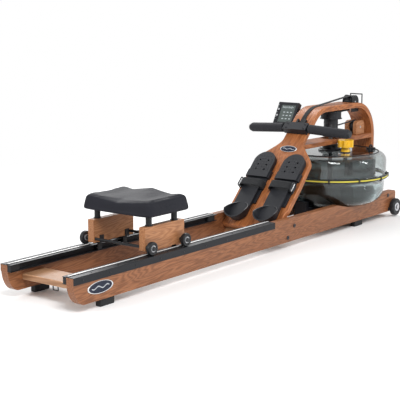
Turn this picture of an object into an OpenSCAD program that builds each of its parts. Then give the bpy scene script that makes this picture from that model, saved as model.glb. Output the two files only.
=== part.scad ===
/* [Rails] */
// Length of each side rail
rail_len = 2070; // [1900:10:2500]
// Width over the outside of the two rails
frame_w = 320; // [300:2:390]
// Thickness of a rail
rail_t = 30; // [24:1:36]
// Depth of a rail
rail_h = 90; // [75:1:110]
// Height of the rubber feet
foot_h = 25; // [20:1:32]
// Length of a rubber foot
foot_l = 66; // [56:1:90]
// Length of the rounded heel at the rear of a rail
heel_l = 48; // [30:1:70]
// Depth of the hollow that the tank sits in
notch_d = 26; // [20:1:30]
// Length of that hollow at the top of the rail
notch_l = 390; // [370:1:460]
// Thickness of the cross boards
cross_t = 20; // [14:1:26]
// Width of the rear cross board
rear_plank_w = 102; // [80:1:140]

/* [Tracks] */
// Length of the aluminium tracks from the rear end
track_len = 1090; // [1000:10:1300]
// Wall of the track extrusion
track_t = 2; // [1.5:0.1:3]
// Depth of the flange on the outside of the rail
flange_d = 22; // [16:1:28]
// Inner depth of the channel for the guide rollers
channel_h = 20; // [18:0.5:26]
// Reach of the channel from the rail
channel_w = 16; // [15:0.5:20]
// Length of a rubber end stop
stop_l = 40; // [30:1:60]
// Distance from the front of the track to the front stops
stop_back = 14; // [5:1:40]

/* [Seat] */
// Width of the seat pad
pad_w = 306; // [270:2:320]
// Length of the seat pad
pad_l = 221; // [190:1:240]
// Height of the seat pad at its crown
pad_h = 59; // [45:1:75]
// Distance from the rear of the rails to the rear of the pad
pad_x = 363; // [350:1:410]
// Gap from the rail top to the underside of the pad
pad_rise = 127; // [110:1:160]
// Diameter of the seat posts
post_d = 21; // [16:1:23]
// Length of a carriage side board
side_l = 206; // [180:1:220]
// Height of a carriage side board
side_h = 81; // [70:1:92]
// Thickness of a carriage side board
side_t = 26; // [20:1:28]
// Gap between the track and a side board
side_gap = 10; // [6:0.5:14]
// Diameter of the seat rollers
roller_d = 46; // [36:1:54]
// Width of a seat roller
roller_w = 16; // [12:1:18]
// Distance between the seat rollers' axles
wheelbase = 178; // [160:1:184]
// Diameter of the carriage axles
axle_d = 10; // [8:0.5:12]
// Diameter of the guide rollers
guide_d = 19; // [16:0.5:19.2]

/* [Footboard and neck] */
// Slope of the footboard in degrees
board_a = 45; // [42:0.5:48]
// Thickness of the bent boards
board_t = 22; // [18:1:26]
// Distance from the front of the rails to the footboard at rail height
board_back = 881; // [860:1:900]
// Greatest width of the footboard
board_w = 272; // [230:2:300]
// Width of the neck, the beam and the arch
neck_w = 98; // [84:1:110]
// Height of the beam's top above the rails
neck_h = 397; // [370:1:430]
// Inner radius of the neck's bend
neck_r = 120; // [90:1:140]
// Outer radius of the arch
arch_r = 153; // [120:1:170]
// Distance from the front of the rails to the arch's front face
arch_back = 12; // [0:1:30]
// Height of the deck board's top above the rails
deck_h = 252; // [235:1:270]
// Thickness of the deck board
deck_t = 18; // [14:1:24]

/* [Feet rests] */
// Distance of each foot rest from the middle
rest_y = 70; // [62:1:80]
// Width of a foot rest
rest_w = 98; // [90:1:110]
// Length of the fixed foot rest up the slope
rest_l = 250; // [220:1:280]
// Height of a foot rest over the board
rest_t = 20; // [14:1:26]
// Length of a heel plate
heel_plate_l = 196; // [170:1:204]
// Height of the heel cup's wall
cup_h = 28; // [18:1:45]
// Width of the foot strap
strap_w = 34; // [26:1:44]
// Thickness of the foot strap
strap_t = 2.5; // [2:0.5:4]
// Room under the foot strap
strap_rise = 15; // [15:1:40]

/* [Water tank] */
// Radius of the tank's walls at the ring
tank_r = 241; // [220:1:262]
// Distance from the front of the rails to the tank's axis
tank_back = 311; // [280:1:330]
// Thickness of the clear shells
shell_t = 4; // [3:0.5:6]
// Height of the lower bowl
bowl_h = 118; // [100:1:140]
// Radius of the bowl's lower corner
bowl_r = 70; // [50:1:90]
// Thickness of the yellow gasket
gasket_t = 5; // [4:0.5:9]
// Height of the upper dome
dome_h = 98; // [80:1:108]
// Radius of the dome's upper corner
dome_r = 39; // [25:1:50]
// Width of the clamped ring outside the walls
ring_w = 7; // [6:1:14]
// Diameter of the impeller
impeller_d = 150; // [120:1:180]
// Diameter of the resistance knob
knob_d = 70; // [50:1:76]
// Distance of the knob from the tank's axis
knob_out = 88; // [86:1:100]

/* [Belt drive] */
// Width of the belt
belt_w = 22; // [16:1:26]
// Thickness of the belt
belt_t = 1.6; // [1:0.1:2.5]
// Radius of the belt wound on the drum
wound_r = 44; // [36:1:50]
// Radius of the bungee spool
spool_r = 30; // [22:1:32]
// Radius of the top roller under the belt
top_roller_r = 26; // [20:1:30]
// Radius of the bungee pulley
pulley_r = 27; // [20:1:32]
// Diameter of the bungee cord
bungee_d = 6; // [4:0.5:8]

/* [Handle and monitor] */
// Length of the handle over the grips
handle_w = 490; // [420:5:540]
// Diameter of the grips
grip_d = 35; // [28:1:38]
// Diameter of the handle's bar
bar_d = 22; // [18:1:25]
// Width of the clamp at the middle of the handle
clamp_w = 110; // [90:2:124]
// Bend of each side of the handle in degrees
handle_bend = 7; // [0:1:12]
// Travel of the handle
handle_pull = 1100; // [800:10:1150]
// Width of the monitor
monitor_w = 100; // [80:1:110]
// Height of the monitor
monitor_h = 104; // [80:1:120]
// Depth of the monitor
monitor_d = 22; // [16:1:30]
// Lean of the monitor from upright in degrees
monitor_lean = 30; // [10:1:40]

/* [Front wheels] */
// Diameter of a transport wheel
wheel_d = 76; // [60:1:84]
// Width of a transport wheel
wheel_w = 22; // [16:1:28]
// Distance from the front of the rails to the wheels' axle
wheel_back = 28; // [20:1:40]

/* [Hidden] */
$fn = 64;

// Clearances
standard_rail = 2070; // rail length that track_len is given for
track_run = track_len + rail_len - standard_rail;
run_gap = 0.05;      // radial room of a bore round its own pin
part_gap = 0.4;      // room between pieces that move past each other
belt_gap = 0.3;      // room between the belt and what it runs over

// Levels and stations, x measured from the rear end of the rails
rail_top = foot_h + rail_h;
in_y = frame_w/2 - rail_t;
overall_len = max(rail_len, rail_len - wheel_back + wheel_d/2);
mid_x = overall_len/2;
tank_x = rail_len - tank_back;
foot_x = rail_len - board_back;
track_top = rail_top + track_t;
round_step = 6;

// Moves a piece from rail stations to the object's own origin
module at(x = 0, y = 0, z = 0) translate([x - mid_x, y, z]) children();
// Extrudes an outline drawn in x and z by w, centred on y
module board(w, y = 0) translate([0, y + w/2, 0]) rotate([90, 0, 0]) linear_extrude(w) children();
module mirror_y() { children(); mirror([0, 1, 0]) children(); }
module rod_y(r, w, y = 0) translate([0, y, 0]) rotate([90, 0, 0]) cylinder(r = r, h = w, center = true);
function arc(cx, cz, r, a0, a1, rz = 0) = let(n = max(2, ceil(abs(a1 - a0)/round_step)),
    v = rz > 0 ? rz : r) [for (i = [0 : n]) let(a = a0 + (a1 - a0)*i/n) [cx + r*cos(a), cz + v*sin(a)]];
module rounded(w, h, r) translate([r - w/2, r - h/2]) {
    square([w - 2*r, h - 2*r]);
    for (i = [0, 1]) translate([(w - 2*r)*i - (1 - i)*r, 0]) square([r, h - 2*r]);
    for (i = [0, 1]) translate([0, (h - 2*r)*i - (1 - i)*r]) square([w - 2*r, r]);
    for (i = [0, 1], j = [0, 1]) translate([(w - 2*r)*i, (h - 2*r)*j]) circle(r);
}
function ellipse(a, b) = [for (t = [0 : 10 : 350]) [a*cos(t), b*sin(t)]];

// ---- rails and cross boards ----
notch_r = (pow(notch_l/2, 2) + pow(notch_d, 2))/(2*notch_d);
pad_t = 3;
bowl_z = rail_top - notch_d + pad_t;
nose_r = 15;
module rail_outline() polygon(concat(
    arc(heel_l, rail_top - 12, heel_l, 180, 270, rail_h - 12),
    arc(rail_len - 10, foot_h + 10, 10, 270, 360),
    arc(rail_len - nose_r, rail_top - nose_r, nose_r, 0, 90),
    [[0, rail_top]]));
module tank_space(gap) translate([tank_x, 0, 0]) rotate_extrude($fn = 96)
    polygon(concat([[0, bowl_z - gap]], arc(tank_r - 7 - bowl_r, bowl_z + bowl_r, bowl_r + gap, 270, 360),
    [[tank_r + gap, bowl_z + bowl_h], [0, bowl_z + bowl_h]]));
module rail() difference() {
    board(rail_t, frame_w/2 - rail_t/2) rail_outline();
    translate([tank_x, 0, rail_top - notch_d + notch_r]) rod_y(notch_r, frame_w + 2, 0, $fn = 360);
    tank_space(1);
    for (p = bolt_spots) translate([p[0], 0, p[1]]) rod_y(bolt_r, frame_w + 2);
    translate([rail_len - wheel_back, 0, wheel_z]) rod_y(axle_bolt_r, frame_w + 2);
}
module rail_left() color("sienna") at() rail();
module rail_right() color("sienna") at() mirror([0, 1, 0]) rail();
rear_plank_x = 62;
rear_plank_z = rail_top - 58;
module cross_board(x, z, w, t) translate([x, -in_y, z]) cube([w, 2*in_y, t]);
module rear_plank() color("peru") at() cross_board(rear_plank_x, rear_plank_z, rear_plank_w, cross_t);
hook_y = 9;
module lift_hook() color("silver") at(rear_plank_x + 12, -hook_y, rear_plank_z) {
    for (i = [-1, 1]) translate([0, 11*i, -16]) cylinder(r = 2, h = 16, $fn = 24);
    for (i = [-1, 1]) translate([0, 11*i, -16]) sphere(2, $fn = 24);
    translate([0, 0, -16]) rod_y(2, 22, 0, $fn = 24);
    translate([0, 0, -1]) rod_y(1, 22, 0, $fn = 24);
}
front_cross_x = rail_len - 85;
front_cross_l = 85 - arch_back - board_t;
module front_cross() color("sienna") at() difference() {
    translate([front_cross_x, -in_y, foot_h + 3]) cube([front_cross_l, 2*in_y, rail_h - 8]);
    for (p = front_bolts, s = [-1, 1]) translate([p[0], s*in_y, p[1]]) rod_y(bolt_r, 2*bolt_in);
}
module rubber_feet() color("black") at() mirror_y() for (x = [122, rail_len - 356])
    translate([x, in_y + 4, 0]) cube([foot_l, rail_t - 8, foot_h]);

// ---- bolts ----
bolt_r = 4;
bolt_in = 25;
front_bolts = [[rail_len - 72, rail_top - 16], [rail_len - 62, foot_h + 11]];
foot_bolts = [[foot_x + 38, rail_top - 31], [foot_x - 7, foot_h + 18]];
bolt_spots = concat(front_bolts, foot_bolts);
module frame_bolts() color("dimgray") at() mirror_y() for (p = bolt_spots)
    translate([p[0], frame_w/2, p[1]]) {
        rod_y(bolt_r, rail_t + bolt_in, -(rail_t + bolt_in)/2);
        difference() {
            rod_y(2*bolt_r, 2.5, 1.25);
            rod_y(3, 3, 2.5, $fn = 6);
        }
    }

// ---- tracks ----
track_in = in_y - channel_w;
module track_section() {
    translate([in_y, rail_top]) square([rail_t, track_t]);
    translate([frame_w/2, rail_top - flange_d]) square([track_t, flange_d + track_t]);
    translate([in_y - track_t, rail_top - channel_h]) square([track_t, channel_h]);
    translate([track_in, rail_top]) square([channel_w, track_t]);
    translate([track_in, rail_top - channel_h - track_t]) square([channel_w, track_t]);
    translate([in_y + 2.5, track_top]) circle(2.2, $fn = 24);
}
module track_bar(x0, l) translate([x0, 0, 0]) rotate([90, 0, 90]) linear_extrude(l) children();
module tracks() color("#2b2d31") at() mirror_y() difference() {
    track_bar(0, track_run) track_section();
    track_bar(-1, track_run + 2) polygon([[in_y, rail_top], [in_y + rail_t, rail_top],
        [in_y + rail_t, rail_top - 5], [in_y, rail_top - 5]]);
}
front_stop_x = track_run - stop_back - stop_l;
module track_stops() color("black") at() mirror_y() for (x = [0, front_stop_x])
    translate([x, track_in + 1, rail_top - channel_h])
        cube([stop_l, channel_w - track_t - 1, channel_h]);

// ---- footboard: s runs up the slope from rail height, n stands out of its front face ----
function up(s, n) = [foot_x + s*cos(board_a) - n*sin(board_a),
    rail_top + s*sin(board_a) + n*cos(board_a)];
module on_board(s = 0, y = 0, n = 0) let(p = up(s, n))
    translate([p[0], y, p[1]]) rotate([0, -board_a, 0]) children();
joint_s = 425;
toe_s = -62;
function ease(t) = t <= 0 ? 0 : t >= 1 ? 1 : t*t*(3 - 2*t);
lobe_s = 262;
waist_s = 388;
function half_width(s) = s < 12 ? in_y - 0.5 :
    s < 40 ? in_y - 0.5 + (board_w/2 - in_y + 0.5)*ease((s - 12)/28) :
    s < lobe_s ? board_w/2 - 4*ease((s - 150)/(lobe_s - 150)) :
    board_w/2 - 4 - (board_w/2 - 4 - neck_w/2)*ease((s - lobe_s)/(waist_s - lobe_s));
board_edge = concat([toe_s], [for (s = [12 : 4 : 40]) s], [for (s = [60 : 12 : joint_s - 10]) s],
    [joint_s]);
module footboard() color("chocolate") at() difference() {
    on_board(0, 0, -board_t) linear_extrude(board_t) polygon(concat(
        [for (s = board_edge) [s, half_width(s)]],
        [for (i = [len(board_edge) - 1 : -1 : 0]) [board_edge[i], -half_width(board_edge[i])]]));
    translate([foot_x - 44 - 200, -frame_w, 0]) cube([200, 2*frame_w, 400]);
    translate([foot_x - 200, -frame_w, 0]) cube([400, 2*frame_w, foot_h + 27]);
}
foot_cross_z = foot_h + 5;
module foot_cross() color("sienna") at() let(b = foot_x + board_t*sqrt(2) - rail_top) difference() {
    board(2*in_y) polygon([[b + foot_cross_z + 24, foot_cross_z], up(-14, -board_t), [foot_x + 66,
        rail_top - 8],
        [foot_x + 66, foot_h + 34], [foot_x + 30, foot_cross_z]]);
    for (p = foot_bolts, s = [-1, 1]) translate([p[0], s*in_y, p[1]]) rod_y(bolt_r, 2*bolt_in);
}

// ---- neck, arch and deck: the bent boards over the tank ----
beam_top = rail_top + neck_h;
neck_c = let(p = up(0, -board_t), z = beam_top - board_t)
    [p[0] + (z - p[1])/tan(board_a) + neck_r*tan(board_a/2), z - neck_r];
arch_x = rail_len - arch_back - arch_r;
arch_z = beam_top - arch_r;
joint_x = arch_x - 17;
module neck_board() color("chocolate") at() board(neck_w) polygon(concat(
    [up(joint_s, 0)], arc(neck_c[0], neck_c[1], neck_r + board_t, 90 + board_a, 90),
    [[joint_x, beam_top], [joint_x, beam_top - board_t]],
    arc(neck_c[0], neck_c[1], neck_r, 90, 90 + board_a), [up(joint_s, -board_t)]));
roller_x = arch_x + 20;
roller_z = beam_top + 2;
slot_w = 50;
guard_x = rail_len - 95;
guard_y = 29;
guard_r = 2.5;
module guard_legs(r) for (y = [-guard_y, guard_y]) translate([guard_x, y, guard_foot])
    cylinder(r = r, h = beam_top + 33 - guard_foot, $fn = 24);
guard_foot = arch_z + sqrt(pow(arch_r - board_t, 2) - pow(guard_x - arch_x, 2)) + 10;
module front_arch() color("chocolate") at() difference() {
    board(neck_w) polygon(concat([[joint_x, beam_top - board_t], [joint_x, beam_top]],
        arc(arch_x, arch_z, arch_r, 90, 0), [[rail_len - arch_back, foot_h + 3],
        [rail_len - arch_back - board_t, foot_h + 3]], arc(arch_x, arch_z, arch_r - board_t, 0, 90)));
    translate([roller_x - 32, -slot_w/2, arch_z]) cube([64, slot_w, arch_r + 2]);
    guard_legs(guard_r);
}
deck_top = rail_top + deck_h;
deck_end = arch_x - 0.35 + sqrt(pow(arch_r - board_t, 2) - pow(max(0, deck_top - arch_z), 2));
deck_hole_r = 44;
module deck_plank() color("chocolate") at() difference() {
    let(b = up(0, -board_t - 0.05)) board(neck_w) polygon([
        [b[0] + (deck_top - deck_t - b[1])/tan(board_a), deck_top - deck_t], [deck_end,
            deck_top - deck_t],
        [deck_end, deck_top], [b[0] + (deck_top - b[1])/tan(board_a), deck_top]]);
    translate([tank_x, 0, 0]) cylinder(r = deck_hole_r, h = 2*deck_top);
    translate([anchor_x, 0, 0]) cylinder(r = bungee_d/2 + 1, h = 2*deck_top, $fn = 24);
}
module wire_guard() color("dimgray") at() {
    guard_legs(guard_r);
    for (y = [-guard_y, guard_y]) translate([guard_x, y, beam_top + 33]) sphere(guard_r, $fn = 24);
    translate([guard_x, 0, beam_top + 33]) rod_y(guard_r, 2*guard_y, 0, $fn = 24);
}

// ---- badges ----
badge_t = 2;
rail_badge_x = 118;
module badges() color("midnightblue") at() {
    mirror_y() translate([rail_badge_x, frame_w/2 + badge_t, foot_h + rail_h*0.47]) rotate([90, 0, 0])
        linear_extrude(badge_t) polygon(ellipse(58, 20));
    on_board(335, 0, 0) linear_extrude(badge_t) polygon(ellipse(16, 40));
}

// ---- foot rests ----
rest_top = 299;
rest_foot = rest_top - rest_l;
base_t = 8;
thick_s = 172;
module rest_outline(w, l) { translate([-l, -w/2]) square([l - w/2, w]); translate([-w/2, 0])
    circle(w/2); }
module footplates() color("#26262a") at() mirror_y() difference() {
    on_board(rest_top, rest_y, 0) union() {
        linear_extrude(base_t) rest_outline(rest_w, rest_l);
        linear_extrude(rest_t) rest_outline(rest_w, rest_top - thick_s);
        translate([thick_s - rest_top, -rest_w/2 - 7, 0]) cube([36, rest_w + 14, rest_t - 5]);
    }
    on_board(0, rest_y, base_t) for (i = [0 : 2], j = [-1, 1]) translate([208 + 23.5*i, 20*j, 0])
        cylinder(r = 4, h = rest_t, $fn = 24);
}
heel_top = thick_s - 23;
heel_foot = heel_top - heel_plate_l;
heel_w = rest_w - 20;
cup_r = rest_w/2 + 3;
cup_s = 44;
heel_t = rest_t - base_t - part_gap;
cup_r1 = cup_r - 11;
module heel_plate(side) on_board(heel_foot, side*rest_y, base_t + part_gap) {
    translate([cup_s, -heel_w/2, 0]) cube([heel_plate_l - cup_s, heel_w, heel_t]);
    translate([heel_plate_l - 34, -rest_w/2, 0]) cube([34, rest_w, heel_t - 2]);
    difference() {
        translate([cup_s, 0, 0]) cylinder(r1 = cup_r1, r2 = cup_r, h = heel_t + cup_h);
        translate([cup_s, 0, heel_t]) cylinder(r1 = cup_r1 + 11*heel_t/(heel_t + cup_h) - 4,
            r2 = cup_r - 4, h = cup_h + 0.01);
        translate([cup_s + 40, -2*cup_r, heel_t]) rotate([0, 28, 0]) translate([-200, 0, 0])
            cube([400, 4*cup_r, 200]);
    }
}
module heel_plate_left() color("#26262a") at() heel_plate(1);
module heel_plate_right() color("#26262a") at() heel_plate(-1);
strap_s = 132;
strap_in = rest_w + 2;
strap_top = rest_t + strap_rise;
module strap_loop(w, h, r) { translate([0, h/2]) rounded(w, h, r); }
module foot_straps() color("#1b1b1d") at() mirror_y() on_board(strap_s, rest_y, 0)
    rotate([90, 0, 90]) translate([0, 0, -strap_w/2]) linear_extrude(strap_w) difference() {
        strap_loop(strap_in + 2*strap_t, strap_top + strap_t, 18);
        strap_loop(strap_in, strap_top, 16);
        translate([-strap_in/2, -1]) square([strap_in, 20]);
        translate([-strap_in, -1]) square([2*strap_in, 1]);
        translate([-strap_in, 0]) square([2*strap_in, 0.5]);
    }
module strap_buckles() color("#111113") at() mirror_y()
    on_board(strap_s, rest_y + strap_in/2 + strap_t, 20) difference() {
        translate([-strap_w/2 - 4, 0, -14]) cube([strap_w + 8, 7, 28]);
        translate([-strap_w/2, 2, -8]) cube([strap_w, 10, 6]);
        translate([-strap_w/2, 2, 3]) cube([strap_w, 10, 5]);
    }

// ---- water tank ----
ring_z = bowl_z + bowl_h;
dome_z = ring_z + gasket_t;
tank_top = dome_z + dome_h;
flange_t = 5;
flange_r = tank_r + ring_w;
function bowl_line(g) = concat([[0, bowl_z + g]],
    arc(tank_r - 7 - bowl_r, bowl_z + bowl_r, bowl_r - g, 270, 360), [[tank_r - g - 2,
        ring_z - flange_t]]);
function dome_line(g) = concat([[tank_r - g, dome_z + flange_t]],
    arc(tank_r - dome_r, tank_top - dome_r, dome_r - g, 0, 90), [[0, tank_top - g]]);
function reverse(v) = [for (i = [len(v) - 1 : -1 : 0]) v[i]];
module tank_bowl() color("lightsteelblue", 0.4) at(tank_x) rotate_extrude($fn = 96) polygon(concat(
    bowl_line(0), [[flange_r, ring_z - flange_t], [flange_r, ring_z], [tank_r - shell_t - 2, ring_z]],
    reverse(bowl_line(shell_t))));
hub_hole_r = 24;
module tank_dome() color("lightsteelblue", 0.4) at(tank_x) difference() {
    rotate_extrude($fn = 96) polygon(concat([[tank_r - shell_t, dome_z], [flange_r, dome_z],
        [flange_r, dome_z + flange_t]], dome_line(0), reverse(dome_line(shell_t))));
    cylinder(r = hub_hole_r, h = 2*tank_top);
    translate([-knob_rear, -knob_out, 0]) cylinder(r = knob_stem_r + run_gap, h = 2*tank_top);
    translate([plug_x, plug_y, 0]) cylinder(r = plug_r + run_gap, h = 2*tank_top);
}
module tank_gasket() color("yellow") at(tank_x, 0, ring_z) difference() {
    cylinder(r = flange_r + 1.5, h = gasket_t, $fn = 96);
    translate([0, 0, -1]) cylinder(r = tank_r - shell_t, h = gasket_t + 2, $fn = 96);
}
clip_h = gasket_t + 2*flange_t;
module ring_clips() color("#1c1c1e") at(tank_x) for (a = [0 : 30 : 330]) rotate([0, 0, a]) difference() {
    translate([flange_r - 6, -4, ring_z - flange_t - 2]) cube([11, 8, clip_h + 4]);
    translate([0, 0, ring_z - flange_t]) cylinder(r = flange_r, h = clip_h, $fn = 96);
    translate([0, 0, ring_z]) cylinder(r = flange_r + 1.5, h = gasket_t, $fn = 96);
}
shaft_r = 8;
module tank_hub() color("#202124") at(tank_x) difference() {
    union() {
        translate([0, 0, tank_top]) cylinder(r = 52, h = 8);
        translate([0, 0, tank_top]) cylinder(r = 34, h = 28);
        translate([0, 0, tank_top - shell_t - 16]) cylinder(r = hub_hole_r, h = shell_t + 17);
    }
    cylinder(r = shaft_r + run_gap, h = 2*tank_top);
}
module tank_cradle() color("#222326") at() difference() {
    union() {
        translate([tank_x - 236, -29, bowl_z - 30]) cube([front_cross_x - tank_x + 236, 58, 30]);
        translate([tank_x - 236, -29, foot_h + 16]) cube([20, 58, 78]);
        translate([tank_x - 130, -in_y, bowl_z - 30]) cube([36, 2*in_y, 24]);
    }
    tank_space(0.05);
}
module tank_pads() color("black") at() mirror_y() intersection() {
    difference() {
        translate([tank_x - 55, in_y + 2, rail_top - notch_d - 1]) cube([110, rail_t - 4, 20]);
        tank_space(0);
    }
    translate([tank_x, 0, rail_top - notch_d + notch_r]) rod_y(notch_r, frame_w + 2, 0, $fn = 360);
}
plug_x = 128;
plug_y = -128;
plug_r = 12;
module fill_plug() color("#1c1c1e") at(tank_x + plug_x, plug_y, tank_top) {
    translate([0, 0, -14]) cylinder(r = plug_r, h = 14 + part_gap);
    translate([0, 0, part_gap]) difference() {
        cylinder(r = 20, h = 9);
        for (a = [0 : 30 : 330]) rotate([0, 0, a]) translate([21, 0, -1]) cylinder(r = 2.5, h = 12,
            $fn = 24);
    }
    translate([0, 0, 8 + part_gap]) rotate([90, 0, 0]) difference() {
        cylinder(r = 15, h = 5, center = true);
        translate([0, 3, 0]) cylinder(r = 7, h = 6, center = true);
        translate([-20, -32, -5]) cube([40, 30, 10]);
    }
}
knob_rear = 22;
knob_stem_r = 9;
knob_z = tank_top + part_gap;
knob_h = 30;
knob_lift = 23;
knob_r = min(knob_d/2, knob_out - neck_w/2 - 3);
module adjuster_knob() color("gold") at(tank_x - knob_rear, -knob_out, knob_z) {
    cylinder(r1 = knob_r*0.62, r2 = knob_r*0.46, h = knob_lift + 1);
    translate([0, 0, knob_lift]) difference() {
        cylinder(r = knob_r, h = knob_h);
        for (a = [0 : 60 : 300]) rotate([0, 0, a]) translate([knob_r + 5, 0, -1]) cylinder(r = 12,
            h = knob_h + 2);
    }
    translate([0, 0, -dome_h - part_gap]) cylinder(r = knob_stem_r, h = dome_h + 1);
    translate([-22, -1.5, -dome_h]) cube([44, 3, 56]);
}
blade_h = 52;
module impeller() color("#c9ccd0") at(tank_x) {
    translate([0, 0, bowl_z + shell_t + 6]) cylinder(r = shaft_r, h = drum_z - 1 - bowl_z - shell_t - 6);
    translate([0, 0, bowl_z + shell_t + 12]) cylinder(r = 20, h = blade_h + 6);
    for (a = [0 : 60 : 300]) rotate([0, 0, a]) translate([8, -2, bowl_z + shell_t + 14])
        cube([impeller_d/2 - 8, 4, blade_h]);
}

// ---- belt drive ----
drum_z = deck_top + 8;
drum_top = beam_top - board_t - 5;
drum_flange = 4;
belt_z = drum_top - drum_flange - belt_w/2 - 2.5;
module belt_drum() color("#1a1b1e") at(tank_x) {
    translate([0, 0, drum_z]) cylinder(r = spool_r + 6, h = 4);
    translate([0, 0, drum_z]) cylinder(r = spool_r, h = drum_top - drum_z);
    for (z = [drum_top - drum_flange, belt_z - belt_w/2 - 1.5 - drum_flange])
        translate([0, 0, z]) cylinder(r = wound_r + 4, h = drum_flange);
    translate([0, 0, belt_z - belt_w/2 - 1.6]) cylinder(r = wound_r, h = belt_w + 4.2);
}
belt_ride = top_roller_r + belt_gap + belt_t/2;
module roller_bracket() color("#1a1b1e") at() difference() {
    mirror_y() translate([roller_x, slot_w/2 - 2.5, roller_z]) {
        board(5) intersection() {
            union() { circle(29); translate([-29, -50]) square([58, 50]); }
            translate([-29, -44]) square([58, 90]);
        }
    }
    translate([roller_x, 0, roller_z]) rod_y(axle_bolt_r, slot_w + 2);
}
module top_roller() color("#303136") at(roller_x, 0, roller_z) difference() {
    union() {
        rod_y(top_roller_r, belt_w + 4);
        mirror_y() rod_y(top_roller_r + 3, 3, belt_w/2 + 3.5);
    }
    rod_y(axle_bolt_r + run_gap, slot_w + 2);
}
axle_bolt_r = 5;
cheek_x = rail_len - 140;
cheek_l = 70;
cheek_h = 61;
pulley_x = cheek_x + 36;
pulley_z = deck_top + 33;
cheek_in = 11;
cheek_t = 20;
module cheek_outline() translate([cheek_x + cheek_l/2, deck_top + cheek_h/2]) difference() {
    rounded(cheek_l, cheek_h, 20);
    translate([-cheek_l, -cheek_h]) square([2*cheek_l, cheek_h/2]);
}
module pulley_cheeks() color("peru") at() mirror_y() difference() {
    board(cheek_t, cheek_in + cheek_t/2) union() {
        cheek_outline();
        translate([cheek_x, deck_top]) square([cheek_l, cheek_h/2]);
    }
    translate([pulley_x, 0, pulley_z]) rod_y(axle_bolt_r, 200);
}
module bungee_pulley() color("#1a1b1e") at(pulley_x, 0, pulley_z) difference() {
    rod_y(pulley_r, 2*cheek_in - 2*part_gap);
    rod_y(axle_bolt_r + run_gap, 60);
    rotate([90, 0, 0]) rotate_extrude() translate([pulley_r + 1, 0])
        circle(bungee_d/2 + belt_gap + 1, $fn = 32);
}
wheel_z = wheel_d/2 + 5;
wheel_in = frame_w/2 + 4;
module axle_bolts() color("silver") at() {
    translate([roller_x, 0, roller_z]) rod_y(axle_bolt_r, slot_w);
    translate([pulley_x, 0, pulley_z]) rod_y(axle_bolt_r, 2*(cheek_in + cheek_t));
    mirror_y() translate([rail_len - wheel_back, 0, wheel_z]) {
        rod_y(axle_bolt_r, wheel_w + rail_t + 5, in_y + (wheel_w + rail_t + 5)/2);
        rod_y(9, 3, wheel_in + wheel_w + 2.5);
        rod_y(9, 3, wheel_in - 2.5);
    }
}
// Sweeps a flat ribbon through points p with width directions w
module ribbon(p, w, b, t) {
    n = len(p);
    dir = [for (i = [0 : n - 1]) let(d = p[min(i + 1, n - 1)] - p[max(i - 1, 0)]) d/norm(d)];
    nrm = [for (i = [0 : n - 1]) let(c = cross(dir[i], w[i])) c/norm(c)];
    pts = [for (i = [0 : n - 1], k = [[1, 1], [-1, 1], [-1, -1], [1, -1]]) p[i]
        + w[i]*k[0]*b/2 + nrm[i]*k[1]*t/2];
    polyhedron(pts, concat([[0, 1, 2, 3]], [for (i = [0 : n - 2], k = [0 : 3])
        [4*i + k, 4*i + 4 + k, 4*i + 4 + (k + 1)%4, 4*i + (k + 1)%4]], [[4*n - 1, 4*n - 2, 4*n - 3,
            4*n - 4]]), 6);
}
belt_steps = 14;
wound_line = wound_r + belt_gap + belt_t/2 + 0.2;
meet_a = acos(wound_line/(roller_x - 4 - tank_x));
belt_end = [tank_x + wound_line*cos(meet_a), wound_line*sin(meet_a), belt_z];
return_start = [roller_x - 4, 0, roller_z - belt_ride];
module belt_return() color("#17181a") at() {
    ribbon([for (i = [0 : belt_steps]) return_start + (belt_end - return_start)*i/belt_steps],
        [for (i = [0 : belt_steps]) let(a = 90*ease(i/belt_steps/0.62)) [0, cos(a), sin(a)]],
            belt_w, belt_t);
    translate([roller_x, 0, roller_z]) difference() {
        rod_y(belt_ride + belt_t/2, belt_w);
        rod_y(belt_ride - belt_t/2, belt_w + 2);
        translate([-100, -50, -50]) cube([96, 100, 100]);
    }
}
neck_ride = neck_r + board_t + belt_gap + belt_t/2;
handle_n = 15;
handle_s = 434;
run_start = [roller_x - 4, roller_z + belt_ride];
lift_a = atan2(run_start[1] - neck_c[1] - neck_ride, run_start[0] - neck_c[0]) + 90;
run_line = concat([run_start], arc(neck_c[0], neck_c[1], neck_ride, lift_a, 90 + board_a),
    [up(handle_s + 30, belt_gap + belt_t/2), up(handle_s + 9, 5)]);
module belt_run() color("#17181a") at()
    ribbon([for (p = run_line) [p[0], 0, p[1]]], [for (p = run_line) [0, 1, 0]], belt_w, belt_t);
anchor_x = tank_x + 90;
cord_z = drum_z + 50;
cord_r = pulley_r + 1;
cord_line = concat([[tank_x + 6, -spool_r - bungee_d/2 - belt_gap, cord_z]],
    [for (a = [90 : -30 : -90]) [pulley_x + cord_r*cos(a), 0, pulley_z + cord_r*sin(a)]],
    [[anchor_x + 18, 0, deck_top + 10], [anchor_x + 2, 0, deck_top + 5], [anchor_x, 0, deck_top],
        [anchor_x, 0, deck_top - 6]]);
module tube(p, r, sides = 8) {
    n = len(p);
    dir = [for (i = [0 : n - 1]) let(d = p[min(i + 1, n - 1)] - p[max(i - 1, 0)]) d/norm(d)];
    u = [for (i = [0 : n - 1]) let(c = cross(dir[i], [0, 1, 0])) c/norm(c)];
    pts = [for (i = [0 : n - 1], k = [0 : sides - 1]) let(a = 360*k/sides)
        p[i] + r*(cos(a)*u[i] + sin(a)*cross(dir[i], u[i]))];
    polyhedron(pts, concat([[for (k = [sides - 1 : -1 : 0]) k]], [for (i = [0 : n - 2],
        k = [0 : sides - 1])
        [i*sides + k, i*sides + (k + 1)%sides, (i + 1)*sides + (k + 1)%sides, (i + 1)*sides + k]],
        [[for (k = [0 : sides - 1]) (n - 1)*sides + k]]), 6);
}
module bungee_cord() color("#2a2a2c") at() tube(cord_line, bungee_d/2 - 0.2);

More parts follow.
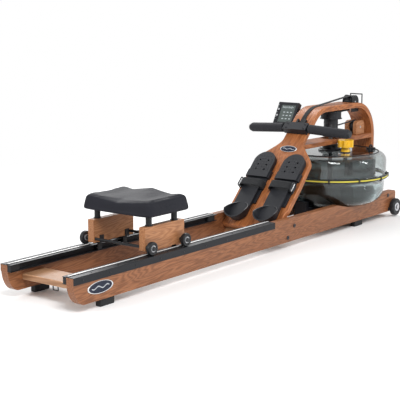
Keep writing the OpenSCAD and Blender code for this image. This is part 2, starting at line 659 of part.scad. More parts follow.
// ---- handle ----
handle_p = up(handle_s, handle_n);
half_bar = (handle_w - clamp_w)/2;
module along_handle() translate([handle_p[0], clamp_w/2, handle_p[1]])
    rotate([0, 31, 0]) rotate([0, 0, -handle_bend]) rotate([-90, 0, 0]) children();
module handle_bar() color("#38393d") at() mirror_y() along_handle() cylinder(r = bar_d/2,
    h = half_bar - 6);
module handle_grips() color("#303035") at() mirror_y() along_handle() difference() {
    union() {
        translate([0, 0, 6]) cylinder(r = grip_d/2, h = half_bar - 14);
        translate([0, 0, half_bar - 8]) cylinder(r1 = grip_d/2, r2 = grip_d/2 - 5, h = 8);
    }
    cylinder(r = bar_d/2, h = half_bar - 6);
}
pad_n = 1.5;
module handle_clamp() color("#29292d") at() on_board(handle_s, 0, 0) difference() {
    translate([-19, -clamp_w/2, pad_n + part_gap]) cube([38, clamp_w, 30]);
    mirror_y() translate([0, 0, handle_n]) rotate([0, board_a, 0]) translate([0, clamp_w/2, 0])
        rotate([0, 31, 0]) rotate([0, 0, -handle_bend]) rotate([-90, 0, 0])
        cylinder(r = bar_d/2, h = 20);
    translate([5, -belt_w/2 - 1, pad_n]) cube([20, belt_w + 2, 7]);
}
module handle_cradle() color("#1d1d20") at() on_board(handle_s, 0, 0) {
    translate([-19, -36, 0]) cube([38, 72, pad_n]);
    mirror_y() translate([19, belt_w/2 + 3, 0]) cube([7, 20, 20]);
    mirror_y() translate([19, belt_w/2 + 3, 0]) cube([34, 8, 12]);
}

// ---- monitor ----
mon_y = 111;
mon_top = [foot_x + 410, rail_top + 411];
mon_up = [sin(monitor_lean), cos(monitor_lean)];
module on_monitor(d = 0, y = 0, n = 0) translate([mon_top[0] - d*mon_up[0] - n*mon_up[1], mon_y + y,
    mon_top[1] - d*mon_up[1] + n*mon_up[0]]) rotate([0, -90 + monitor_lean, 0]) children();
pivot_d = 56;
pivot_n = monitor_d + 12;
pivot_r = 6;
mon_side = 12;
module monitor_case() color("#1e1f22") at() difference() {
    union() {
        on_monitor(monitor_h, -monitor_w/2, -monitor_d) cube([monitor_h, monitor_w, monitor_d]);
        for (y = [-34, 26]) on_monitor(pivot_d, y, -pivot_n) {
            translate([0, 4, 0]) rotate([90, 0, 0]) cylinder(r = 12, h = 8, center = true);
            translate([-12, 0, 0]) cube([24, 8, 13]);
        }
    }
    on_monitor(monitor_h - mon_side, -monitor_w/2 + mon_side, -3) cube([monitor_h - 2*mon_side,
        monitor_w - 2*mon_side - 6, 4]);
    on_monitor(pivot_d, 0, -pivot_n) rod_y(pivot_r + run_gap, 200);
    for (i = [0, 1]) on_monitor(button_d[i], button_y, -4) rod_z(button_r + part_gap, 10);
}
module rod_z(r, h) cylinder(r = r, h = h, $fn = 32);
module monitor_screen() color("darkseagreen") at()
    on_monitor(monitor_h - mon_side, -monitor_w/2 + mon_side, -3) cube([monitor_h - 2*mon_side,
        monitor_w - 2*mon_side - 6, 1.5]);
button_y = monitor_w/2 - 9;
button_r = 4;
button_d = [34, 62];
module button(i) color("white") at() on_monitor(button_d[i], button_y, -4 + 2) rod_z(button_r, 4);
module button_upper() button(0);
module button_lower() button(1);
arm_in = neck_w/2;
module monitor_arm() color("#1a1b1e") at() difference() {
    union() {
        on_monitor(pivot_d, 0, -pivot_n) rod_y(pivot_r, mon_y + 40 - arm_in, (40 - mon_y + arm_in)/2);
        on_monitor(pivot_d, 0, -pivot_n) translate([-8, arm_in - mon_y, -12]) cube([46, 4, 24]);
    }
}

// ---- seat and carriage ----
axle_z = track_top + part_gap + roller_d/2;
side_y = frame_w/2 - 31.5;
side_x = pad_x + 7;
side_z = track_top + side_gap;
axle_xs = [side_x + side_l/2 - wheelbase/2 - 5, side_x + side_l/2 + wheelbase/2 - 5];
pad_z = rail_top + pad_rise;
post_y = side_y - side_t/2;
post_xs = [side_x + 34, side_x + side_l - 39];
plate_t = 5;
// Height of the pad's top at a distance v along it and y across it
function crown(v, y) = pad_h - 12*exp(-pow((abs(y) - pad_w*0.28)/35, 2))*(0.5 + 0.5*v)
    - 20*exp(-pow(y/55, 2))*pow(1 - v, 1.5) + 8*exp(-pow(y/45, 2))*ease(v) - 3;
module seat_pad() color("#2a2a2e") at(pad_x, 0, pad_z) difference() {
    hull() {
        translate([pad_l/2, 0, 0]) linear_extrude(20) rounded(pad_l, pad_w, 18);
        translate([pad_l/2 + 1, 0, 0]) linear_extrude(pad_h - 7) rounded(pad_l - 12, pad_w - 12, 16);
        translate([pad_l/2 + 1, 0, 0]) linear_extrude(pad_h) rounded(pad_l - 34, pad_w - 34, 14);
    }
    translate([-pad_l*0.35, 0, pad_h + 62]) rotate([0, 12, 0]) scale([1.5, 1, 1]) sphere(86);
    translate([post_mid - pad_x, 0, -1]) cube([plate_l + 1, plate_w + 1, 2*plate_t + 3], center = true);
}
post_mid = (post_xs[0] + post_xs[1])/2;
plate_l = post_xs[1] - post_xs[0] + 2*post_d;
plate_w = 2*post_y + 2*post_d;
module seat_frame() color("#1c1d20") at() {
    translate([post_mid, 0, pad_z + plate_t/2]) cube([plate_l, plate_w, plate_t], center = true);
    for (x = post_xs) mirror_y() translate([x, post_y, side_z + side_h])
        cylinder(r = post_d/2, h = pad_z - side_z - side_h);
    for (x = post_xs) mirror_y() translate([x, post_y, side_z + side_h]) cylinder(r = post_d/2 + 3,
        h = 3);
}
module carriage_sides() color("peru") at() mirror_y() difference() {
    translate([side_x + side_l/2, side_y - side_t/2, side_z + side_h/2]) rotate([90, 0, 0])
        linear_extrude(side_t, center = true) rounded(side_l, side_h, 4);
    for (x = axle_xs) translate([x, 0, axle_z]) rod_y(axle_d/2, 2*frame_w);
}
sleeve_l = frame_w/2 - 18 - side_y - part_gap;
roller_y = side_y + sleeve_l + part_gap + roller_w/2;
module carriage_rods() color("#202124") at() for (x = axle_xs) translate([x, 0, axle_z]) {
    rod_y(axle_d/2, 2*roller_y + roller_w + 6);
    mirror_y() rod_y(axle_d/2 + 3, sleeve_l, side_y + sleeve_l/2);
    mirror_y() rod_y(axle_d/2 + 3, 2, roller_y + roller_w/2 + part_gap + 1);
}
module rollers(x) color("#1a1a1c") at(x, 0, axle_z) mirror_y() difference() {
    rod_y(roller_d/2, roller_w, roller_y);
    rod_y(axle_d/2 + run_gap, 2*frame_w);
}
module rear_rollers() rollers(axle_xs[0]);
module front_rollers() rollers(axle_xs[1]);
guide_z = rail_top - channel_h/2;
guide_xs = [axle_xs[0] + 30, axle_xs[1] - 17];
bracket_y = track_in - part_gap - 3;
bracket_in = side_y - side_t - 3;
pin_r = 3;
guide_w = channel_w - track_t - 2*part_gap - 1;
module guide_brackets() color("silver") at() mirror_y() for (x = guide_xs) translate([x, 0, 0]) {
    difference() {
        translate([-10, bracket_y, guide_z - 8]) cube([20, 3, side_z - 1 - guide_z + 8]);
        translate([0, 0, guide_z]) rod_y(pin_r, frame_w);
    }
    translate([-10, bracket_in, side_z - 4]) cube([20, bracket_y + 3 - bracket_in, 3]);
    translate([-10, bracket_in, side_z - 4]) cube([20, 3, 27]);
    translate([0, 0, guide_z]) rod_y(pin_r, guide_w + 3.5, bracket_y + (guide_w + 3.5)/2);
}
module guides(x) color("#1a1a1c") at(x, 0, guide_z) mirror_y() difference() {
    rod_y(guide_d/2, guide_w, track_in + part_gap + guide_w/2);
    rod_y(pin_r + run_gap, frame_w);
}
module rear_guides() guides(guide_xs[0]);
module front_guides() guides(guide_xs[1]);

// ---- transport wheels ----
module transport_wheel() color("#1d1d20") at(rail_len - wheel_back, 0, wheel_z) difference() {
    rod_y(wheel_d/2, wheel_w, wheel_in + wheel_w/2);
    rod_y(axle_bolt_r + run_gap, frame_w + 4*wheel_w);
    for (y = [wheel_in, wheel_in + wheel_w]) rod_y(wheel_d/2 - 12, 5, y);
}
module wheel_left() transport_wheel();
module wheel_right() mirror([0, 1, 0]) transport_wheel();

rail_left();
rail_right();
tracks();
track_stops();
rear_plank();
lift_hook();
foot_cross();
footboard();
neck_board();
front_arch();
front_cross();
deck_plank();
rubber_feet();
frame_bolts();
badges();
footplates();
foot_straps();
strap_buckles();
heel_plate_left();
heel_plate_right();
tank_cradle();
tank_pads();
tank_bowl();
tank_dome();
tank_gasket();
ring_clips();
tank_hub();
fill_plug();
adjuster_knob();
impeller();
belt_drum();
bungee_cord();
bungee_pulley();
pulley_cheeks();
axle_bolts();
roller_bracket();
top_roller();
wire_guard();
belt_run();
belt_return();
handle_bar();
handle_grips();
handle_clamp();
handle_cradle();
monitor_arm();
monitor_case();
monitor_screen();
button_upper();
button_lower();
seat_pad();
seat_frame();
carriage_sides();
carriage_rods();
guide_brackets();
rear_rollers();
front_rollers();
rear_guides();
front_guides();
wheel_left();
wheel_right();
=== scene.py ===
"""Looks for the water rower: finishes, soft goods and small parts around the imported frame."""

from __future__ import annotations

import logging
import math
from dataclasses import dataclass
from enum import Enum
from typing import Any, Iterable, Sequence

import bmesh
import bpy
import numpy as np
from mathutils import Matrix, Vector

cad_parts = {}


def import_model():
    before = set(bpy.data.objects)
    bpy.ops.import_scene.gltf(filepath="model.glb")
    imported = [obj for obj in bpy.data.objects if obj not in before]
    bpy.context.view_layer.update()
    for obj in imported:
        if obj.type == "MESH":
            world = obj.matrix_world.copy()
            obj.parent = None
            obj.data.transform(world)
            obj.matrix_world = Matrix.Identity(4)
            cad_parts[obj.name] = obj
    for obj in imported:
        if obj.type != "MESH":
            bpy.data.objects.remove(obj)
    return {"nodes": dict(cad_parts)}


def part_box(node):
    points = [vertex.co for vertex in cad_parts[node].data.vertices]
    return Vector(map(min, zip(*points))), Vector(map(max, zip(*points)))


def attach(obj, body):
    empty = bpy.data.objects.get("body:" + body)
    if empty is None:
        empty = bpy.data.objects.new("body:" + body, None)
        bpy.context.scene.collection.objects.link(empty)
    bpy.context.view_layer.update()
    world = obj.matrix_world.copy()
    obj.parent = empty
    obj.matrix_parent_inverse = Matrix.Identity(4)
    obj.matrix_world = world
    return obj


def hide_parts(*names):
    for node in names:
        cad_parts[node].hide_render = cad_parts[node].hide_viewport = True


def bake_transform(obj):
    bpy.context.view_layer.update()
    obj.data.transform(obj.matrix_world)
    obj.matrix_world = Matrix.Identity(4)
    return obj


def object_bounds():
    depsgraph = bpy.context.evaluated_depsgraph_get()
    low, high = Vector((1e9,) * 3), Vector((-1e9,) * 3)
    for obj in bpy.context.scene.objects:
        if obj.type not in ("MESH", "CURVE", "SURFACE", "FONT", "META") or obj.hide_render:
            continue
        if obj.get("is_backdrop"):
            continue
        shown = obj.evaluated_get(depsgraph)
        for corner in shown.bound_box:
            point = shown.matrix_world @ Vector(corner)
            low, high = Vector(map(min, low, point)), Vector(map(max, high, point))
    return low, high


log = logging.getLogger("rower")
Colour = tuple[float, float, float]
Point = tuple[float, float, float]


class Along(Enum):
    """Direction in which a board's grain runs."""

    LENGTH = "x"
    WIDTH = "y"
    HEIGHT = "z"
    BEND = "attribute"


class Head(Enum):
    """Shape of a repeated fixing."""

    HEX = 6
    ROUND = 20
    DOME = 0


# ---------------------------------------------------------------- finishes


class Shader:
    """One node material while it is being wired."""

    def __init__(self, name: str) -> None:
        """Starts a material with its principled shader.

        Args:
            name: The material's name.
        """
        self.material = bpy.data.materials.new(name)
        self.material.use_nodes = True
        self.tree = self.material.node_tree
        self.surface = self.tree.nodes["Principled BSDF"]

    def node(self, kind: str, settings: dict[str, Any] | None = None, **inputs: Any) -> bpy.types.Node:
        """Adds a node, then sets or links its inputs.

        Args:
            kind: The node's type.
            settings: Properties to set on the node itself.
            inputs: Values or sockets, keyed by input name with underscores for spaces.

        Returns:
            The new node.
        """
        made = self.tree.nodes.new(kind)
        for key, value in (settings or {}).items():
            setattr(made, key, value)
        for key, value in inputs.items():
            self.feed(made, int(key[1:]) if key[0] == "i" and key[1:].isdigit() else key.replace("_", " "), value)
        return made

    def feed(self, node: bpy.types.Node, key: str | int, value: Any) -> None:
        """Sets one input of a node, or links a socket to it.

        Args:
            node: The node.
            key: Name or number of its input.
            value: A number, a colour or another node's socket.
        """
        socket = node.inputs[key]
        if isinstance(value, bpy.types.NodeSocket):
            self.tree.links.new(value, socket)
        elif isinstance(value, tuple) and len(value) == 3 and socket.type == "RGBA":
            socket.default_value = (*value, 1.0)
        else:
            socket.default_value = value

    def place(self, attribute: str = "") -> bpy.types.NodeSocket:
        """Gives object coordinates, or a piece's own vector attribute.

        Args:
            attribute: Name of the attribute, or nothing for object coordinates.

        Returns:
            The socket to link.
        """
        if attribute:
            return self.node("ShaderNodeAttribute", {"attribute_name": attribute}).outputs["Vector"]
        return self.node("ShaderNodeTexCoord").outputs["Object"]

    def scalar(self, attribute: str) -> bpy.types.NodeSocket:
        """Gives a piece's own number attribute."""
        return self.node("ShaderNodeAttribute", {"attribute_name": attribute}).outputs["Fac"]

    def mapped(self, vector: Any, scale: Point = (1, 1, 1), turn: Point = (0, 0, 0), move: Point = (0, 0, 0)) -> Any:
        """Gives a vector that is moved, turned and scaled."""
        return self.node("ShaderNodeMapping", Vector=vector, Location=move, Rotation=turn, Scale=scale).outputs[0]

    def noise(self, vector: Any, scale: float, detail: float = 2, rough: float = 0.5, twist: float = 0) -> Any:
        """Gives a cloudy pattern from 0 to 1."""
        return self.node("ShaderNodeTexNoise", Vector=vector, Scale=scale, Detail=detail, Roughness=rough,
                         Distortion=twist).outputs[0]

    def wave(self, vector: Any, scale: float, twist: float, kind: str = "BANDS", way: str = "X", detail: float = 2,
             finer: float = 1) -> Any:
        """Gives bands or rings from 0 to 1.

        Args:
            vector: Where the pattern is looked up.
            scale: Bands per unit, about.
            twist: How far noise bends them.
            kind: BANDS or RINGS.
            way: Axis across the bands or through the rings.
            detail: Octaves of that noise.
            finer: Scale of the noise.

        Returns:
            The socket to link.
        """
        settings = {"wave_type": kind, "rings_direction" if kind == "RINGS" else "bands_direction": way}
        return self.node("ShaderNodeTexWave", settings, Vector=vector, Scale=scale, Distortion=twist, Detail=detail,
                         Detail_Scale=finer).outputs["Fac"]

    def cells(self, vector: Any, scale: float, feature: str = "F1") -> Any:
        """Gives the distance to scattered points."""
        return self.node("ShaderNodeTexVoronoi", {"feature": feature}, Vector=vector, Scale=scale).outputs["Distance"]

    def ramp(self, value: Any, *stops: tuple[float, Colour]) -> Any:
        """Turns a number into a colour.

        Args:
            value: The number's socket.
            stops: Places from 0 to 1 with the colour at each.

        Returns:
            The colour's socket.
        """
        made = self.node("ShaderNodeValToRGB", Fac=value)
        points = made.color_ramp.elements
        while len(points) < len(stops):
            points.new(0.5)
        for point, (where, colour) in zip(points, stops):
            point.position = where
            point.color = (*colour, 1)
        return made.outputs["Color"]

    def mix(self, amount: Any, first: Any, second: Any, way: str = "MIX") -> Any:
        """Mixes two colours.

        Args:
            amount: Share of the second one.
            first: First colour.
            second: Second colour.
            way: How they are mixed.

        Returns:
            The socket to link.
        """
        made = self.node("ShaderNodeMix", {"data_type": "RGBA", "blend_type": way})
        for index, value in ((0, amount), (6, first), (7, second)):
            self.feed(made, index, value)
        return made.outputs[2]

    def sum(self, way: str, first: Any, second: Any = 0.0) -> Any:
        """Works out a sum of two numbers.

        Args:
            way: The operation.
            first: First number.
            second: Second number.

        Returns:
            The socket to link.
        """
        made = self.node("ShaderNodeMath", {"operation": way})
        self.feed(made, 0, first)
        self.feed(made, 1, second)
        return made.outputs[0]

    def span(self, value: Any, low: float, high: float, to_low: float, to_high: float) -> Any:
        """Stretches a number from one range to another, held at the ends."""
        return self.node("ShaderNodeMapRange", Value=value, From_Min=low, From_Max=high, To_Min=to_low,
                         To_Max=to_high).outputs[0]

    def bump(self, height: Any, depth: float, strength: float = 1.0, under: Any = None) -> Any:
        """Turns a height pattern into a surface direction.

        Args:
            height: The pattern's socket.
            depth: Height in metres that the pattern's full range stands for.
            strength: Share of the effect, from 0 to 1.
            under: Another bump's output to build on.

        Returns:
            The normal's socket.
        """
        made = self.node("ShaderNodeBump", Strength=strength, Distance=depth, Height=height)
        if under is not None:
            self.feed(made, "Normal", under)
        return made.outputs[0]

    def finish(self, **inputs: Any) -> bpy.types.Material:
        """Sets the principled shader's inputs and gives the material."""
        for key, value in inputs.items():
            self.feed(self.surface, key.replace("_", " "), value)
        return self.material


@dataclass(frozen=True)
class Timber:
    """Stained, lacquered timber with growth rings, pores and lighter worn edges."""

    name: str
    dark: Colour
    middle: Colour
    light: Colour
    along: Along = Along.LENGTH
    figure: float = 34.0
    tilt: float = 0.09
    seed: float = 0.0
    rough: float = 0.42
    plies: float = 0.0

    def build(self) -> bpy.types.Material:
        """Wires the material."""
        s = Shader(self.name)
        raw = s.place("grain" if self.along is Along.BEND else "")
        quarter = math.pi / 2
        turn = {Along.WIDTH: (0, 0, quarter), Along.HEIGHT: (0, quarter, 0)}.get(self.along, (0, 0, 0))
        lined = s.mapped(raw, turn=turn)
        board = s.mapped(lined, turn=(0, self.tilt, self.tilt * 0.6), move=(self.seed, self.seed * 0.37, -0.19))
        drift = s.noise(s.mapped(board, (0.55, 6, 6)), 3.0, 3, 0.5)
        warped = s.node("ShaderNodeVectorMath", {"operation": "ADD"}, i0=s.mapped(board, (0.22, 1, 1)),
                        i1=s.node("ShaderNodeCombineXYZ", Y=s.span(drift, 0.2, 0.8, -0.045, 0.045),
                                  Z=s.span(drift, 0.2, 0.8, 0.035, -0.035)).outputs[0]).outputs[0]
        rings = s.wave(warped, self.figure, 0.0, "RINGS", "X")
        fibre = s.noise(s.mapped(lined, (5, 330, 330), move=(self.seed, 0, 0)), 1.0, 4, 0.7)
        pores = s.span(s.noise(s.mapped(lined, (18, 700, 700), move=(0, self.seed, 0)), 1.0, 1, 0.5), 0.6, 0.72, 0, 1)
        figure = s.sum("ADD", s.sum("MULTIPLY", rings, 0.54), s.sum("MULTIPLY", fibre, 0.46))
        colour = s.ramp(figure, (0.08, self.dark), (0.42, self.middle), (0.95, self.light))
        shade = s.noise(s.mapped(lined, (3, 12, 12), move=(self.seed, self.seed, 0)), 1.0, 2)
        colour = s.mix(s.span(shade, 0.35, 0.7, 0.0, 0.45), colour, self.dark)
        colour = s.mix(s.sum("MULTIPLY", pores, 0.55), colour, tuple(v * 0.42 for v in self.dark))
        if self.plies:
            depth = s.node("ShaderNodeSeparateXYZ", i0=raw).outputs[2]
            line = s.sum("PINGPONG", s.sum("ADD", depth, 0.5), self.plies)
            glue = s.span(line, 0.0, self.plies * 0.14, 0.6, 0.0)
            colour = s.mix(glue, colour, tuple(v * 0.35 for v in self.dark))
        worn = s.sum("MULTIPLY", s.scalar("edge"), s.span(s.noise(lined, 60.0, 3), 0.4, 0.65, 0.05, 0.5))
        colour = s.mix(worn, colour, tuple(min(1.0, v * 1.25) for v in self.light))
        relief = s.bump(s.sum("SUBTRACT", fibre, s.sum("MULTIPLY", pores, 0.8)), 0.00035, 0.5)
        relief = s.bump(rings, 0.0004, 0.25, relief)
        return s.finish(Base_Color=colour, Roughness=s.span(fibre, 0.3, 0.7, self.rough - 0.06, self.rough + 0.1),
                        Normal=relief, Coat_Weight=0.1, Coat_Roughness=0.3, Specular_IOR_Level=0.3)


@dataclass(frozen=True)
class Moulding:
    """Moulded plastic or powder coat: fine texture, scuffs and paler cloudy patches."""

    name: str
    colour: Colour
    rough: float = 0.45
    grain: float = 900.0
    depth: float = 0.00012
    metal: float = 0.0
    coat: float = 0.0

    def build(self) -> bpy.types.Material:
        """Wires the material."""
        s = Shader(self.name)
        at = s.place()
        fine = s.noise(at, self.grain, 3, 0.6)
        cloud = s.noise(at, 14.0, 3, 0.6)
        scuff = s.span(s.noise(s.mapped(at, (60, 240, 60), (0.4, 0.3, 0.5)), 1.0, 4, 0.7), 0.62, 0.78, 0.0, 1.0)
        pale = tuple(min(1.0, v * 1.7 + 0.012) for v in self.colour)
        colour = s.mix(s.span(cloud, 0.35, 0.7, 0.0, 0.3), self.colour, pale)
        colour = s.mix(s.sum("MULTIPLY", scuff, 0.25), colour, pale)
        rough = s.sum("ADD", s.span(cloud, 0.3, 0.7, self.rough - 0.05, self.rough + 0.07),
                      s.sum("MULTIPLY", scuff, 0.1))
        return s.finish(Base_Color=colour, Roughness=rough, Metallic=self.metal, Coat_Weight=self.coat,
                        Coat_Roughness=0.12, Specular_IOR_Level=0.35, Normal=s.bump(fine, self.depth, 0.6))


@dataclass(frozen=True)
class Drawn:
    """Extruded, turned or plated metal with fine lines along one axis."""

    name: str
    colour: Colour
    lines: Point = (4, 900, 900)
    rough: float = 0.3
    metal: float = 1.0

    def build(self) -> bpy.types.Material:
        """Wires the material."""
        s = Shader(self.name)
        at = s.place()
        streak = s.noise(s.mapped(at, self.lines), 1.0, 3, 0.6)
        cloud = s.noise(at, 22.0, 2)
        colour = s.mix(s.span(cloud, 0.35, 0.7, 0.0, 0.35), self.colour, tuple(v * 0.72 for v in self.colour))
        rough = s.sum("ADD", s.span(streak, 0.3, 0.7, self.rough - 0.08, self.rough + 0.1),
                      s.span(cloud, 0.3, 0.7, 0.0, 0.05))
        return s.finish(Base_Color=colour, Roughness=rough, Metallic=self.metal, Normal=s.bump(streak, 0.00006, 0.5))


@dataclass(frozen=True)
class Hide:
    """Coated seat cover: pebbled skin with soft sheen and faint creases."""

    name: str
    colour: Colour
    pebble: float = 620.0

    def build(self) -> bpy.types.Material:
        """Wires the material."""
        s = Shader(self.name)
        at = s.place()
        skin = s.cells(at, self.pebble)
        crease = s.noise(s.mapped(at, (18, 30, 18)), 1.0, 5, 0.62, 0.6)
        cloud = s.noise(at, 9.0, 3)
        pale = tuple(v * 1.25 + 0.002 for v in self.colour)
        colour = s.mix(s.span(cloud, 0.35, 0.7, 0.0, 0.5), self.colour, pale)
        colour = s.mix(s.span(skin, 0.0, 0.5, 0.0, 0.25), colour, pale)
        relief = s.bump(crease, 0.0012, 0.35, s.bump(skin, 0.00025, 0.5))
        return s.finish(Base_Color=colour, Roughness=s.span(skin, 0.1, 0.7, 0.5, 0.64), Normal=relief,
                        Specular_IOR_Level=0.15, Sheen_Weight=0.02, Sheen_Roughness=0.4)


@dataclass(frozen=True)
class Webbing:
    """Woven tape: warp and weft threads that follow the piece's own map."""

    name: str
    colour: Colour
    pitch: float = 0.0012
    rib: float = 0.5

    def build(self) -> bpy.types.Material:
        """Wires the material."""
        s = Shader(self.name)
        at = s.node("ShaderNodeUVMap", {"uv_map": "weave"}).outputs[0]
        scale = 0.1 / self.pitch
        warp = s.wave(s.mapped(at, (scale, scale, scale)), math.pi, 0.3, "BANDS", "X", 1)
        weft = s.wave(s.mapped(at, (scale * self.rib, scale * self.rib, scale * self.rib)), math.pi, 0.5, "BANDS",
                      "Y", 1)
        thread = s.sum("MAXIMUM", warp, weft)
        fuzz = s.noise(s.mapped(at, (900, 900, 900)), 1.0, 3, 0.7)
        pale = tuple(v * 1.6 + 0.004 for v in self.colour)
        colour = s.mix(s.span(thread, 0.3, 1.0, 0.0, 0.8), self.colour, pale)
        colour = s.mix(s.span(fuzz, 0.4, 0.7, 0.0, 0.3), colour, pale)
        return s.finish(Base_Color=colour, Roughness=s.span(fuzz, 0.3, 0.7, 0.72, 0.9),
                        Normal=s.bump(s.sum("ADD", thread, s.sum("MULTIPLY", fuzz, 0.4)), 0.0005, 0.7),
                        Sheen_Weight=0.03, Sheen_Roughness=0.5, Specular_IOR_Level=0.2)


@dataclass(frozen=True)
class Clear:
    """Clear moulded shell with faint haze, flow lines and water spots."""

    name: str
    colour: Colour = (0.86, 0.93, 0.92)
    haze: float = 0.03
    transmission: float = 1.0
    index: float = 1.45

    def build(self) -> bpy.types.Material:
        """Wires the material."""
        s = Shader(self.name)
        at = s.place()
        cloud = s.noise(at, 12.0, 3)
        spots = s.span(s.cells(at, 55.0), 0.0, 0.12, 1.0, 0.0)
        rough = s.sum("ADD", s.span(cloud, 0.35, 0.75, self.haze, self.haze + 0.015), s.sum("MULTIPLY", spots, 0.03))
        colour = s.mix(s.span(cloud, 0.3, 0.7, 0.0, 0.4), self.colour, tuple(v * 0.96 for v in self.colour))
        return s.finish(Base_Color=colour, Roughness=rough, Transmission_Weight=self.transmission, IOR=self.index,
                        Normal=s.bump(cloud, 0.0006, 0.15))


@dataclass(frozen=True)
class Enamel:
    """Two-tone badge: a rim and a face split by a mark drawn from the piece's map."""

    name: str
    face: Colour
    mark: Colour

    def build(self) -> bpy.types.Material:
        """Wires the material."""
        s = Shader(self.name)
        at = s.place("grain")
        across = s.node("ShaderNodeSeparateXYZ", i0=at)
        bands = s.sum("MULTIPLY", across.outputs[0], 9.0)
        swell = s.node("ShaderNodeMath", {"operation": "SINE"}, i0=bands).outputs[0]
        height = s.sum("SUBTRACT", across.outputs[1], s.sum("MULTIPLY", swell, 0.14))
        off = s.node("ShaderNodeMath", {"operation": "ABSOLUTE"}, i0=height).outputs[0]
        line = s.span(off, 0.05, 0.075, 1.0, 0.0)
        reach = s.span(s.node("ShaderNodeMath", {"operation": "ABSOLUTE"}, i0=across.outputs[0]).outputs[0],
                       0.66, 0.7, 1.0, 0.0)
        cloud = s.noise(at, 4.0, 3)
        colour = s.mix(s.sum("MULTIPLY", line, reach), self.face, self.mark)
        colour = s.mix(s.span(cloud, 0.4, 0.7, 0.0, 0.03), colour, self.mark)
        raised = s.bump(s.sum("MULTIPLY", line, reach), 0.0004, 0.5)
        return s.finish(Base_Color=colour, Roughness=s.span(cloud, 0.3, 0.7, 0.3, 0.42), Coat_Weight=0.15,
                        Specular_IOR_Level=0.2, Coat_Roughness=0.08, Normal=raised)


@dataclass(frozen=True)
class Display:
    """Unlit liquid crystal face: a fine dot grid under a glossy window."""

    name: str
    colour: Colour

    def build(self) -> bpy.types.Material:
        """Wires the material."""
        s = Shader(self.name)
        at = s.place()
        grid = s.cells(at, 900.0)
        cloud = s.noise(at, 25.0, 2)
        colour = s.mix(s.span(grid, 0.0, 0.6, 0.0, 0.2), self.colour, tuple(v * 0.8 for v in self.colour))
        colour = s.mix(s.span(cloud, 0.35, 0.65, 0.0, 0.25), colour, tuple(v * 0.7 for v in self.colour))
        return s.finish(Base_Color=colour, Roughness=s.span(cloud, 0.3, 0.7, 0.14, 0.22), Coat_Weight=0.8,
                        Coat_Roughness=0.05)


class Palette:
    """Every finish, made once and handed out by name."""

    RAIL = Timber("rail_timber", (0.15, 0.053, 0.02), (0.25, 0.093, 0.036), (0.36, 0.148, 0.062), seed=1.3)
    # Far rail timber: the near rail's wood painted a little darker, as painted shade on the far rail.
    RAIL_PAINTED_SHADE = Timber("far_rail_timber_painted_shade", (0.135, 0.047, 0.018), (0.235, 0.087, 0.033), (0.34, 0.138, 0.058), seed=4.1)
    CROSS = Timber("cross_timber", (0.23, 0.11, 0.052), (0.37, 0.195, 0.1), (0.49, 0.285, 0.165), Along.WIDTH, 38.0,
                   seed=2.2)
    BENT = Timber("bent_timber", (0.2, 0.064, 0.02), (0.36, 0.118, 0.036), (0.54, 0.2, 0.07), Along.BEND, 32.0,
                  seed=0.7, rough=0.36, plies=0.0037)
    DECK = Timber("deck_timber", (0.17, 0.055, 0.019), (0.30, 0.1, 0.034), (0.45, 0.17, 0.065), seed=3.6)
    SIDE = Timber("carriage_timber", (0.26, 0.105, 0.042), (0.375, 0.163, 0.069), (0.5, 0.24, 0.112), seed=5.5,
                  figure=40.0)
    TRACK = Moulding("black_anodised", (0.011, 0.012, 0.015), 0.4, 1500.0, 0.00004, 0.4)
    # Pale strip along each track's top edge: a painted highlight.
    PAINTED_HIGHLIGHT = Drawn("painted_highlight_strip", (0.9, 0.9, 0.9), rough=0.32, metal=0.35)
    STEEL = Drawn("zinc_steel", (0.55, 0.55, 0.56), (300, 300, 300), 0.28)
    BOLT = Drawn("black_bolt", (0.05, 0.05, 0.055), (400, 400, 400), 0.3, 0.8)
    COAT = Moulding("black_powder_coat", (0.009, 0.01, 0.012), 0.42, 1600.0, 0.00008)
    RUBBER = Moulding("black_rubber", (0.009, 0.0095, 0.011), 0.62, 700.0, 0.0002)
    TYRE = Moulding("roller_tyre", (0.008, 0.009, 0.011), 0.45, 500.0, 0.00012)
    PLASTIC = Moulding("black_moulding", (0.008, 0.009, 0.012), 0.4)
    CHARCOAL = Moulding("charcoal_moulding", (0.0075, 0.0085, 0.012), 0.5)
    HUB = Moulding("grey_hub", (0.46, 0.47, 0.49), 0.3, 800.0, 0.00006, 0.6)
    FOAM = Moulding("foam_grip", (0.013, 0.0135, 0.017), 0.75, 1300.0, 0.0005)
    YELLOW = Moulding("yellow_moulding", (0.86, 0.46, 0.015), 0.28, 500.0, 0.00005, 0.0, 0.3)
    SEAL = Moulding("yellow_seal", (0.6, 0.52, 0.06), 0.42, 600.0, 0.0001)
    SILVER = Moulding("silver_moulding", (0.62, 0.63, 0.65), 0.26, 900.0, 0.00004, 0.55)
    BLADE = Moulding("paddle_moulding", (0.3, 0.32, 0.33), 0.3, 500.0, 0.00008)
    SEAT = Hide("seat_cover", (0.012, 0.0125, 0.0175))
    STRAP = Webbing("foot_strap_web", (0.012, 0.0125, 0.014))
    BELT = Webbing("drive_belt_web", (0.016, 0.0165, 0.018), 0.0011, 0.6)
    CORD = Webbing("cord_braid", (0.02, 0.02, 0.024), 0.0015, 1.0)
    SHELL = Clear("clear_shell", (0.82, 0.86, 0.86), 0.002)
    WATER = Clear("tank_water", (0.5, 0.56, 0.57), 0.01, 1.0, 1.33)
    VESSEL = Clear("smoked_vessel", (0.062, 0.075, 0.075), 0.03, 1.0, 1.4)
    BADGE = Enamel("badge_enamel", (0.004, 0.008, 0.026), (0.45, 0.47, 0.5))
    SCREEN = Display("display_face", (0.07, 0.09, 0.085))
    LABEL = Moulding("pale_print", (0.36, 0.4, 0.41), 0.5, 800.0, 0.00002)

    def __init__(self) -> None:
        """Starts with nothing made."""
        self.made: dict[str, bpy.types.Material] = {}

    def get(self, finish: Any) -> bpy.types.Material:
        """Gives a finish's material, making it the first time.

        Args:
            finish: The finish.

        Returns:
            Its material.
        """
        if finish.name not in self.made:
            self.made[finish.name] = finish.build()
        return self.made[finish.name]


